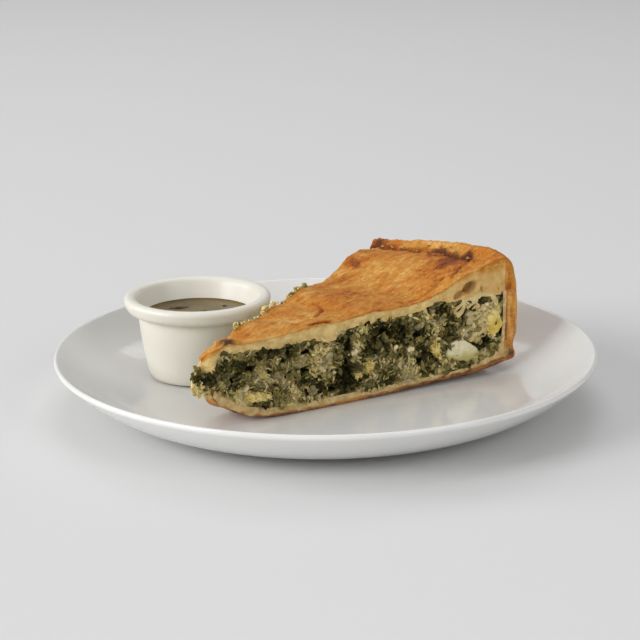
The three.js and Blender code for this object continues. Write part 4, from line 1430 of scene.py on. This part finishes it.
class PIE_OT_filling_core(bpy.types.Operator):
    """Pack the spinach filling: a craggy mass with hollows, the ground that the cut leaves lie on"""

    bl_idname = "pie.filling_core"
    bl_label = "Filling Core"

    def execute(self, context):
        floor = filling_floor()
        even = np.arange(floor[0, 0] + 0.8, HEEL_START, CORE_STEP)
        flat_part = np.column_stack([even, np.interp(even, floor[:, 0], floor[:, 1])])
        line = np.concatenate([rounded(FILLING_TIP, 4), flat_part, floor[floor[:, 0] > HEEL_START]])
        nu, nv, nw = len(line) - 1, CORE_ACROSS, CORE_LAYERS
        i, j, k, faces, number = shell(nu, nv, nw)
        s, low = line[i].T
        v, t = np.linspace(0, 1, nv + 1)[j], k / nw
        ceiling = lid_bottom(np.minimum(s, 165), v)
        z = mix(low, ceiling - GAP - 0.05, t)
        points = place(s, v, z)
        on_near, on_far, off_rim = (j == 0) * 1.0, (j == nv) * 1.0, (k > 0) & (k < nw)
        leafy = np.where(on_far > 0, patchwork(s, z, FAR_PATCHES, 140), patchwork(s, z, FILLING_PATCHES, 120))
        depth_near, hollow_near = sink(s, z, HOLLOWS)
        depth_far, hollow_far = sink(s, z, FAR_HOLLOWS)
        inner = (i > 0) & (i < nu) & off_rim
        crag = -0.8 + 0.95 * rough(points, 3.0, 91) + 0.35 * grain(points, 1.2, 92)
        crag += 0.5 * (1 - cells(points, 4.6, 95)) - 0.3 * np.clip(leafy, -1, 1)
        from_edge = np.minimum(z - low, ceiling - z)
        from_edge = np.minimum(from_edge, np.where(s > 150, 0.6 * (FILLING_REACH - s) - 0.7, 9.0))
        crag = np.where(inner, crag * (0.15 + 0.85 * smooth(0, 2.5, from_edge)), 0.0)
        points += off_cuts(on_near * (crag - depth_near * inner), on_far * (crag - depth_far * inner))
        points += (((i == 0) & off_rim) * 0.5 * rough(points, 2.0, 93))[:, None] * outward(225)
        hollow = np.maximum(on_near * hollow_near, on_far * hollow_far)
        opening = []
        for more in (2.3, 1.1):
            wider = [(a, b, wide + more, high + more, lean, 4.0) for a, b, wide, high, lean, _ in HOLLOWS]
            opening.append(on_near * sink(s, z, wider)[1])
        # Crevices and hollows are painted darker and proud crags lighter: painted shade.
        crevice_shade = smooth(0.45, 0.85, cells(points, 2.6, 96))
        tint = 0.56 - 0.26 * leafy + 0.22 * grain(points, 1.5, 94) + 0.12 * crag - 0.28 * crevice_shade
        tint = np.clip(tint - 0.7 * hollow * (1 - 0.55 * on_near * smooth(138, 150, s)), 0, 1)
        core = mesh_piece("filling_core", points, faces, FINISH["core"], {"tint": tint})
        belongs(core, "spinach", "filling")
        bare = np.maximum(hollow, kept_bare(s, z, on_near, on_far))
        keep_grounds(points, number, leafy, bare, opening, from_edge, smooth(128, 142, s) - (s < 8))
        return {"FINISHED"}


GROUND = {}


def keep_grounds(points, number, leafy, bare, opening, from_edge, rearward):
    """Keep the cut faces as ground for the scattered bits, with how thickly each kind lies on them."""
    room = smooth(-0.3, 1.0, from_edge + 0.8 * grain(points, 3.2, 98) - 1.5 * (rearward < 0))
    faces_of = {"near": (number[:, 0], False), "far": (number[:, -1], True), "tip": (number[0], True)}
    for name, (grid, turn) in faces_of.items():
        used, faces = np.unique(grid_quads(grid, turn), return_inverse=True)
        local, space, far_back = leafy[used], room[used], np.maximum(rearward[used], 0)
        clear = (1 - bare[used]) * (1 - opening[1][used])
        leaf = (0.14 + 0.86 * smooth(-0.6, 0.25, local)) * clear * space
        values = {
            "leaf_share": leaf * (1 - 0.9 * opening[0][used]),
            "shred_share": (0.35 + 0.65 * smooth(0.7, -0.4, local)) * clear * space,
            "mash_share": (0.12 + 0.88 * smooth(0.1, -0.7, local)) * clear * np.maximum(space, 0.6),
            "tone": 0.52 - 0.27 * local + 0.16 * grain(points[used], 5.0, 97) + 0.13 * far_back,
        }
        GROUND[name] = (points[used], faces.reshape(-1, 4), values)


def leaf_cut(seed):
    """A crumpled scrap of leaf about 1 mm across."""
    rng = np.random.default_rng(seed)
    a, b = sheet_grid(3, 3)
    ragged = 1 + 0.13 * rng.normal(size=a.shape)
    x = 0.62 * a * (1 - 0.28 * b**2) * ragged
    y = 0.42 * b * (1 - 0.28 * a**2) * ragged
    z = 0.20 * np.sin(2.2 * a + rng.uniform(0, 6)) + 0.14 * np.sin(3.1 * b + rng.uniform(0, 6))
    half = 0.07 * (1.2 - 0.8 * np.maximum(np.abs(a), np.abs(b)) ** 2)
    return thin_sheet(x, y, z + 0.05 * rng.normal(size=a.shape), half)


def mash_bit(seed):
    """A soft, uneven lump about 1 mm across."""
    rng = np.random.default_rng(seed)
    return blob((0.5, 0.5 * rng.uniform(0.55, 1.0), 0.5 * rng.uniform(0.4, 0.8)), seed, 0.35, 1)


def shred_bit(seed):
    """A curled, flat shred about 2 mm long."""
    rng = np.random.default_rng(seed)
    t = np.linspace(-1, 1, 8)
    curl, lean = rng.uniform(0.5, 1.3), rng.uniform(-0.5, 0.5)
    y = 0.55 * (1 - np.cos(curl * t)) / curl + 0.12 * np.sin(5 * t)
    path = np.column_stack([np.sin(curl * t) / curl, y, 0.2 * lean * t])
    return tube(path, 0.19 * np.sqrt(np.clip(1 - 0.85 * t**2, 0.1, 1)), 6, 0.55)


SCATTER_INPUTS = {
    "Geometry": "Geometry", "Bits": "Collection", "Share": "String", "Seed": "Int", "Finish": "Material",
    "Density": "Float", "Smallest": "Float", "Largest": "Float", "Tilt": "Float", "Sink": "Float",
    "Tint": "Float", "Tint Spread": "Float",
}


def scatter_tree():
    """Geometry nodes: bits of a collection lie on the ground, as thickly as its attribute says."""
    tree = bpy.data.node_groups.new("Scattered Bits", "GeometryNodeTree")
    sockets = {}
    for name, kind in SCATTER_INPUTS.items():
        made = tree.interface.new_socket(name, in_out="INPUT", socket_type="NodeSocket" + kind)
        sockets[name] = made.identifier
    tree.interface.new_socket("Geometry", in_out="OUTPUT", socket_type="NodeSocketGeometry")
    given = add_node(tree, "NodeGroupInput").outputs

    def named(name):
        made = add_node(tree, "GeometryNodeInputNamedAttribute", {"Name": name}, data_type="FLOAT")
        return made.outputs["Attribute"]

    def chance(low, high, step, **kind):
        """A random value for each point between two inputs, on a seed of its own."""
        seed = added(tree, given["Seed"], step)
        return add_node(tree, "FunctionNodeRandomValue", low | high | {"Seed": seed}, **kind).outputs

    laying = {"Mesh": given["Geometry"], "Density": scaled(tree, named(given["Share"]), given["Density"])}
    spread = add_node(tree, "GeometryNodeDistributePointsOnFaces", laying | {"Seed": given["Seed"]}).outputs
    drop = {0: spread["Normal"], "Scale": given["Sink"]}
    drop = add_node(tree, "ShaderNodeVectorMath", drop, operation="SCALE").outputs["Vector"]
    settled = add_node(tree, "GeometryNodeSetPosition", {"Geometry": spread["Points"], "Offset": drop})
    back = scaled(tree, given["Tilt"], -1.0)
    lowest = add_node(tree, "ShaderNodeCombineXYZ", {"X": back, "Y": back, "Z": -math.pi}).outputs[0]
    highest = {"X": given["Tilt"], "Y": given["Tilt"], "Z": math.pi}
    highest = add_node(tree, "ShaderNodeCombineXYZ", highest).outputs[0]
    angles = chance({0: lowest}, {1: highest}, 0.0, data_type="FLOAT_VECTOR")[0]
    local = add_node(tree, "FunctionNodeEulerToRotation", {0: angles}).outputs[0]
    facing = {0: spread["Rotation"], 1: local}
    facing = add_node(tree, "FunctionNodeRotateRotation", facing, rotation_space="LOCAL").outputs[0]
    size = chance({2: given["Smallest"]}, {3: given["Largest"]}, 1.0, data_type="FLOAT")[1]
    bits = {"Collection": given["Bits"], "Separate Children": True, "Reset Children": True}
    bits = add_node(tree, "GeometryNodeCollectionInfo", bits).outputs[0]
    laid = {"Points": settled.outputs[0], "Instance": bits, "Pick Instance": True}
    laid |= {"Rotation": facing, "Scale": size}
    laid = add_node(tree, "GeometryNodeInstanceOnPoints", laid).outputs[0]
    varied = off_middle(tree, chance({}, {}, 2.0, data_type="FLOAT")[1], given["Tint Spread"])
    toned = added(tree, off_middle(tree, named("tone"), 1.0), given["Tint"])
    tint = {"Geometry": laid, "Name": "tint", "Value": added(tree, toned, varied, True)}
    marked = add_node(tree, "GeometryNodeStoreNamedAttribute", tint, data_type="FLOAT", domain="INSTANCE")
    real = add_node(tree, "GeometryNodeRealizeInstances", {"Geometry": marked.outputs[0]}).outputs[0]
    done = add_node(tree, "GeometryNodeSetMaterial", {"Geometry": real, "Material": given["Finish"]})
    add_node(tree, "NodeGroupOutput", {0: done.outputs[0]})
    return tree, sockets


def bits_collection(name, maker, seeds):
    """Shapes to scatter, in a collection that isn't shown. They are made in millimetres of their own."""
    collection = bpy.data.collections.new(name)
    for seed in seeds:
        mesh = new_mesh(f"{name}_{seed}", *maker(seed))
        soften(mesh)
        collection.objects.link(bpy.data.objects.new(mesh.name, mesh))
    return collection


def scattered(name, ground_name, tree, sockets, values, slot):
    """Run the scatter tree on one ground and keep the result as a plain mesh."""
    points, faces, shares = GROUND[ground_name]
    ground = mesh_piece(name + "_ground", points, faces, None, shares)
    modifier = ground.modifiers.new("Scatter", "NODES")
    modifier.node_group = tree
    for key, value in values.items():
        modifier[sockets[key]] = value
    bpy.context.view_layer.update()
    evaluated = ground.evaluated_get(bpy.context.evaluated_depsgraph_get())
    mesh = bpy.data.meshes.new_from_object(evaluated)
    bpy.data.objects.remove(ground)
    if not len(mesh.polygons):
        raise RuntimeError(f"{name}: nothing was scattered")
    mesh.name = name
    soften(mesh)
    return belongs(shown(name, mesh), slot)


# Kinds of bits: name, maker, seeds, finish, which share and what sizes and tints the tree uses.
BITS = (
    ("leaves", leaf_cut, range(9), "leaf", {
        "Share": "leaf_share", "Smallest": 1.8 * MM, "Largest": 5.2 * MM, "Tilt": 0.7, "Sink": 0.2 * MM,
        "Tint": 0.43, "Tint Spread": 0.50,
    }),
    ("shreds", shred_bit, range(40, 48), "leaf", {
        "Share": "shred_share", "Smallest": 1.0 * MM, "Largest": 3.4 * MM, "Tilt": 0.6, "Sink": 0.45 * MM,
        "Tint": 0.66, "Tint Spread": 0.50,
    }),
    ("mash", mash_bit, range(20, 27), "mash", {
        "Share": "mash_share", "Smallest": 0.9 * MM, "Largest": 3.2 * MM, "Tilt": 0.9, "Sink": 0.0,
        "Tint": 0.42, "Tint Spread": 0.66,
    }),
)


class PIE_OT_chopped_greens(bpy.types.Operator):
    """Scatter cut leaves, bits of onion and egg, and stems over both cut faces and the tip"""

    bl_idname = "pie.chopped_greens"
    bl_label = "Chopped Greens"

    def execute(self, context):
        wanted = context.scene.pie_filling
        densities = (wanted.leaf_density, wanted.shred_density, wanted.mash_density)
        tree, sockets = scatter_tree()
        for number, (kind, maker, seeds, finish, looks) in enumerate(BITS):
            bits = bits_collection(kind + "_bits", maker, seeds)
            values = looks | {"Bits": bits, "Finish": FINISH[finish], "Density": densities[number]}
            values["Seed"] = wanted.seed + 100 * number
            for ground in GROUND:
                scattered(f"{kind}_{ground}", ground, tree, sockets, values, "spinach")
            for shape in list(bits.objects):
                bpy.data.objects.remove(shape)
            bpy.data.collections.remove(bits)
        return {"FINISHED"}


# ------------------------------------------------------------------ onion, egg and crumbs


def cut_lump(radii, seed, unevenness, detail, lean, s, z, far, proud):
    """An uneven lump that leans in the plane of a cut and lies on it."""
    points, faces = blob(radii, seed, unevenness, detail)
    along = points[:, 0] * math.cos(lean) - points[:, 2] * math.sin(lean)
    up = points[:, 0] * math.sin(lean) + points[:, 2] * math.cos(lean)
    face = FAR_FACE if far else NEAR_FACE
    world = on_cut(s, z, far, proud) + along[:, None] * outward(CUT_FAR if far else CUT_NEAR)
    world = world + points[:, 1:2] * face + up[:, None] * np.array([0, 0, 1.0])
    return world, faces if far else [f[::-1] for f in faces]


class PIE_OT_onion(bpy.types.Operator):
    """Set soft, clear lumps of onion and melted cheese into the pale places of the filling"""

    bl_idname = "pie.onion"
    bl_label = "Onion Pieces"

    def execute(self, context):
        rng = np.random.default_rng(17)
        parts = []
        clusters = [(*patch, False) for patch in ONION_PATCHES] + [(*patch, True) for patch in FAR_ONION]
        for s, z, wide, high, count, tint, far in clusters:
            for _ in range(round(ONION_CROWD * count)):
                a, r = rng.uniform(0, 2 * math.pi), rng.uniform(0, 1) ** 0.5
                size = 0.6 + 1.9 * rng.uniform() ** 2.4
                radii, seed = (size, 0.6 * size, size * rng.uniform(0.5, 0.9)), int(rng.integers(9999))
                lean, proud = rng.uniform(-1, 1), rng.uniform(-0.5, 0.15)
                at_s, at_z = s + wide * r * math.cos(a), z + high * r * math.sin(a)
                points, faces = cut_lump(radii, seed, 0.3, 3, lean, at_s, at_z, far, proud)
                parts.append((points, faces, {"tint": tint + rng.uniform(-0.35, 0.2)}))
        for number, (s, z, half_length, half_height, lean, tint) in enumerate(ONION_PIECES):
            radii, lean = (half_length, 1.1, half_height), math.radians(lean)
            points, faces = cut_lump(radii, 300 + number, 0.22, 4, lean, s, z, False, -0.35)
            parts.append((points, faces, {"tint": tint + 0.2 * grain(points, 2.2, 310)}))
        points, faces, values = join_parts(parts)
        belongs(mesh_piece("onion_lumps", points, faces, FINISH["onion"], values), "spinach")
        return {"FINISHED"}


# Rings of an egg piece from its middle: share of the outline, and height from proud (1) to deep (-1).
PLUG_RINGS = [
    (0.18, 1), (0.36, 1), (0.54, 0.97), (0.7, 0.9), (0.84, 0.76), (0.94, 0.5), (1, 0.1), (1, -0.6),
    (0.92, -1),
]


def plug(outline, far, proud, deep, relief, seed):
    """A closed piece set into a cut, from its outline: a grained, domed front and sides that go in."""
    edge = closed_line(outline, 7)
    strip = np.column_stack([edge, 0 * edge[:, 0]])
    edge = edge + relief * 1.3 * wobble(strip, 1.5, seed + 2, seed + 3)
    turn = edge[:, 0] @ np.roll(edge[:, 1], -1) - edge[:, 1] @ np.roll(edge[:, 0], -1)
    edge = edge[::-1] if (turn < 0) != far else edge
    middle = edge.mean(0)
    flat = [middle[None]] + [middle + (edge - middle) * share for share, _ in PLUG_RINGS] + [middle[None]]
    lift = [1.0] + [height for _, height in PLUG_RINGS] + [-1.0]
    out = np.concatenate([np.full(len(f), h * proud if h > 0 else h * deep) for f, h in zip(flat, lift)])
    s, z = np.concatenate(flat).T
    world = place(s, np.full(len(s), 1.0 if far else 0.0), z)
    out = out + (out > 0) * relief * (rough(world, 1.7, seed) + 0.4 * grain(world, 0.7, seed + 1))
    n = len(edge)
    pairs = [(a, (a + 1) % n) for a in range(n)]
    faces = [(0, 1 + a, 1 + b) for a, b in pairs]
    last = 1 + (len(PLUG_RINGS) - 1) * n
    for low in range(1, last, n):
        faces += [(low + a, low + n + a, low + n + b, low + b) for a, b in pairs]
    faces += [(last + b, last + a, last + n) for a, b in pairs]
    return world + out[:, None] * (FAR_FACE if far else NEAR_FACE), faces


class PIE_OT_egg(bpy.types.Operator):
    """Set the cut pieces of boiled egg into the filling"""

    bl_idname = "pie.egg"
    bl_label = "Boiled Egg"

    def execute(self, context):
        for number, (node, far, proud, deep, outline) in enumerate(EGG_SHAPES):
            kind, relief = ("egg_white", 0.24) if "white" in node else ("egg_yolk", 0.7)
            points, faces = plug(outline, far, proud, deep, relief, 160 + 5 * number)
            if kind == "egg_white":
                tint = smooth(21.5, 17, points[:, 2] + 1.5 * grain(points, 3, 90))
            else:
                tint = smooth(-0.1, 0.5, grain(points, 3.5, 91)) * 0.8
            stands_for = () if node.endswith("bit") else (node,)
            belongs(mesh_piece(f"{node}_cut", points, faces, FINISH[kind], {"tint": tint}), kind, *stands_for)
        return {"FINISHED"}


# Tufts on the lid's far edge: s, spread, how many, how leafy, how high they reach, crumb size.
EDGE_TUFTS = [
    (42, 2.8, 24, 0.45, 2.2, 1.1), (49, 2.5, 12, 0.3, 1.2, 0.9), (56, 2.4, 14, 0.3, 1.2, 0.9),
    (65, 3.0, 30, 0.12, 2.8, 1.2), (73, 2.2, 18, 0.1, 2.4, 1.1), (80, 3, 8, 0.4, 0.8, 0.7),
    (87, 3.0, 20, 0.5, 1.3, 0.9), (93, 3.0, 18, 0.6, 1.2, 0.9), (100, 2.0, 16, 0.85, 1.6, 1.1),
    (28, 3, 7, 0.5, 0.6, 0.7),
]
TIP_CRUMBS, YOLK_CRUMBS = 110, 60


class PIE_OT_crumbs(bpy.types.Operator):
    """Stick crumbs of egg and leaf to the tip and to the lid's far edge"""

    bl_idname = "pie.crumbs"
    bl_label = "Crumbs"

    def execute(self, context):
        rng = np.random.default_rng(11)
        pale, green = [], []

        def crumb(smallest, largest, unevenness, size=1.0):
            return blob(size * rng.uniform(smallest, largest, 3), int(rng.integers(999)), unevenness, 1)

        for _ in range(TIP_CRUMBS):
            s = rng.uniform(0.2, 9.5)
            z = 27.6 - 0.55 * s + rng.normal(0, 1.5)
            if z < float(np.interp(s, [0, 2, 10], [24.5, 22.5, 19.5])):
                continue
            points, faces = crumb(0.35, 1.05, 0.4)
            points = points + on_cut(max(s, 1.0), z, proud=rng.uniform(-0.3, 0.7))
            heap = green if rng.uniform() < 0.12 else pale
            heap.append((points, faces, {"tint": rng.uniform(0.55, 1)}))
        for middle, spread, count, leafy, climb, size in EDGE_TUFTS:
            for _ in range(count):
                s = rng.normal(middle, spread / 2)
                v = 1 - abs(rng.normal(0, 0.015))
                lift = rng.uniform(-0.6, climb) * math.exp(-(((s - middle) / spread) ** 2))
                origin = on_lid(s, v, lift) + FAR_FACE * rng.uniform(-0.5, 0.5)
                points, faces = crumb(0.4, 1.1, 0.45, size)
                heap = green if rng.uniform() < leafy else pale
                heap.append((points + origin, faces, {"tint": rng.uniform(0.45, 0.95)}))
        for node, far, _, _, outline in EGG_SHAPES:
            knots = closed_line(outline, 6)
            for _ in range(YOLK_CRUMBS if "yolk" in node else 0):
                at = mix(knots.mean(0), knots[rng.integers(len(knots))], rng.uniform(0.3, 1.05))
                s, z = at + rng.normal(0, 0.5, 2)
                points, faces = crumb(0.25, 0.8, 0.4)
                points = points + on_cut(s, z, far, rng.uniform(-0.2, 0.9))
                pale.append((points, faces, {"tint": rng.uniform(0.0, 0.8)}))
        for name, parts, finish in (("crumbs_egg", pale, "yellow"), ("crumbs_leaf", green, "leaf")):
            points, faces, values = join_parts(parts)
            belongs(mesh_piece(name, points, faces, FINISH[finish], values), "spinach")
        return {"FINISHED"}


# ------------------------------------------------------------------ finishes, stage, panel


class PIE_OT_finishes(bpy.types.Operator):
    """Make the shared shader groups and every finish"""

    bl_idname = "pie.finishes"
    bl_label = "Finishes"

    def execute(self, context):
        scene = context.scene
        GROUPS.update(food=food_grain_group(), fibre=fibre_group())
        glaze, pot, oil = map(tuple, (scene.pie_plate.glaze, scene.pie_pot.glaze, scene.pie_pot.dressing))
        FINISH.update(
            plate=glaze_material("White glaze", glaze, 0.97, 0.10, 0.06),
            pot=glaze_material("Cream glaze", pot, 0.95, 0.36, 0.45),
            dressing=dressing_material(oil),
            lid=pastry_material("Browned lid crust", LID_STOPS, *LID_CRUMB),
            base=pastry_material("Baked base crust", BASE_STOPS, *BASE_CRUMB),
            core=spinach_material("Packed filling", CORE_STOPS, 0.4, hues=0.7),
            leaf=spinach_material("Cut spinach leaf", LEAF_STOPS, 0.35, hues=0.7),
            mash=spinach_material("Onion and egg bits", MASH_STOPS, 0.4, hues=0.35),
            onion=spinach_material("Soft onion", ONION_STOPS, 0.3, -0.05, 0.22, 0.35),
            web=spinach_material("Dough web", WEB_STOPS, 0.45, hues=0.25),
            yellow=spinach_material("Egg crumbs", YELLOW_STOPS, 0.45, hues=0.2),
            herb=spinach_material("Soaked herb", HERB_STOPS, 0.2, hues=0.2),
            egg_white=egg_material("Boiled egg white", *WHITE_COLOURS, 0.35),
            egg_yolk=egg_material("Boiled egg yolk", *YOLK_COLOURS, 0.55),
        )
        return {"FINISHED"}


def soft_light(name, power, size, where, target):
    lamp = bpy.data.lights.new(name, "AREA")
    lamp.energy, lamp.size = power, size
    holder = shown(name, lamp)
    holder.location = where
    holder.rotation_euler = (Vector(target) - Vector(where)).to_track_quat("-Z", "Y").to_euler()


FOCAL_PX, FRAME_PX, SENSOR = 2087.0, 640.0, 36.0
CAMERA_AT = (0.0, -0.926, 0.3047)
PAN, TILT, ROLL = math.radians(-0.14), math.radians(16.058), math.radians(-0.578)
SLICE_MIDDLE = (0, 0, 0.03)
# The backdrop in metres: its front edge, where it starts to bend, the bend's radius, its top, half its width.
SWEEP_FRONT, SWEEP_START, SWEEP_RADIUS, SWEEP_TOP, SWEEP_HALF = -4.0, 2.2, 1.2, 4.0, 5.0
# Lights besides the main one and the one at the left: name, power, size, place in metres.
LOW_LIGHTS = (
    ("Low", 3.6, 1.0, (-1.6, -0.2, 0.7)), ("Top", 4.3, 1.2, (0.0, 0.0, 1.9)),
    ("Back", 6.1, 1.2, (0.0, 1.3, 1.5)), ("Front", 8.5, 1.0, (1.3, -1.2, 0.9)),
    ("Fill", 4.6, 1.2, (-0.2, -2.2, 0.4)),
)


def make_camera():
    ahead = Vector((math.sin(PAN) * math.cos(TILT), math.cos(PAN) * math.cos(TILT), -math.sin(TILT)))
    level = Vector((math.cos(PAN), -math.sin(PAN), 0))
    above = level.cross(ahead)
    right = math.cos(ROLL) * level + math.sin(ROLL) * above
    up = -math.sin(ROLL) * level + math.cos(ROLL) * above
    lens = bpy.data.cameras.new("Camera")
    lens.sensor_width, lens.lens = SENSOR, FOCAL_PX * SENSOR / FRAME_PX
    lens.clip_start, lens.clip_end = 0.05, 20
    camera = shown("Camera", lens)
    camera.matrix_world = Matrix.Translation(CAMERA_AT) @ Matrix((right, up, -ahead)).transposed().to_4x4()
    bpy.context.scene.camera = camera


class PIE_OT_stage(bpy.types.Operator):
    """Set the pale floor that sweeps up into a backdrop, the lights and the camera"""

    bl_idname = "pie.stage"
    bl_label = "Stage"

    def execute(self, context):
        wanted = context.scene.pie_table
        line = [(SWEEP_FRONT, 0.0), (-1.0, 0.0), (1.0, 0.0)]
        for a in np.linspace(0, math.pi / 2, 20):
            line.append((SWEEP_START + SWEEP_RADIUS * math.sin(a), SWEEP_RADIUS * (1 - math.cos(a))))
        line.append((SWEEP_START + SWEEP_RADIUS, SWEEP_TOP))
        points = [(x / MM, y / MM, z / MM) for x in (-SWEEP_HALF, SWEEP_HALF) for y, z in line]
        n = len(line)
        faces = [[a, n + a, n + a + 1, a + 1] for a in range(n - 1)]
        floor = mesh_piece("backdrop_sweep", points, faces, backdrop_material(tuple(wanted.cloth)))
        world = bpy.data.worlds.new("Studio")
        world.use_nodes = True
        sky = world.node_tree.nodes["Background"].inputs
        sky["Color"].default_value = (1.0, 1.0, 1.0, 1)
        sky["Strength"].default_value = wanted.sky
        context.scene.world = world
        soft_light("Key", wanted.key_power, 1.4, (-2.8, -1.6, 1.4), SLICE_MIDDLE)
        soft_light("Side", wanted.side_power, 1.2, (-3.2, 0.6, 1.2), SLICE_MIDDLE)
        for name, power, size, where in LOW_LIGHTS:
            soft_light(name, power, size, where, SLICE_MIDDLE)
        context.scene.view_settings.view_transform = "Standard"
        make_camera()
        return {"FINISHED"}


class PIE_PT_panel(bpy.types.Panel):
    """Lists the pieces of the plated slice"""

    bl_label = "Plated Pie Slice"
    bl_idname = "PIE_PT_panel"
    bl_space_type = "VIEW_3D"
    bl_region_type = "UI"
    bl_category = "Pie Slice"

    def draw(self, context):
        for made in OPERATORS:
            self.layout.operator(made.bl_idname)
        for group in SETTINGS:
            settings = getattr(context.scene, group)
            box = self.layout.box()
            for key in settings.bl_rna.properties.keys():
                if key not in ("rna_type", "name"):
                    box.prop(settings, key)


SETTINGS = {
    "pie_plate": PlateSettings, "pie_pot": PotSettings, "pie_crust": CrustSettings,
    "pie_filling": FillingSettings, "pie_table": TableSettings,
}
OPERATORS = (
    PIE_OT_finishes, PIE_OT_plate, PIE_OT_ramekin, PIE_OT_dressing, PIE_OT_base_crust, PIE_OT_lid_crust,
    PIE_OT_dough_strands, PIE_OT_flakes, PIE_OT_filling_core, PIE_OT_chopped_greens, PIE_OT_onion, PIE_OT_egg,
    PIE_OT_crumbs, PIE_OT_stage,
)
CLASSES = (*SETTINGS.values(), *OPERATORS, PIE_PT_panel)


def register():
    for made in CLASSES:
        bpy.utils.register_class(made)
    for name, group in SETTINGS.items():
        setattr(bpy.types.Scene, name, PointerProperty(type=group))


def unregister():
    for name in SETTINGS:
        delattr(bpy.types.Scene, name)
    for made in reversed(CLASSES):
        bpy.utils.unregister_class(made)


def main():
    register()
    bpy.ops.pie.finishes()
    bpy.ops.pie.plate()
    bpy.ops.pie.ramekin()
    bpy.ops.pie.dressing()
    bpy.ops.pie.base_crust()
    bpy.ops.pie.lid_crust()
    bpy.ops.pie.dough_strands()
    bpy.ops.pie.flakes()
    bpy.ops.pie.filling_core()
    bpy.ops.pie.chopped_greens()
    bpy.ops.pie.onion()
    bpy.ops.pie.egg()
    bpy.ops.pie.crumbs()
    bpy.ops.pie.stage()
    bpy.context.view_layer.update()


if __name__ == "__main__":
    main()
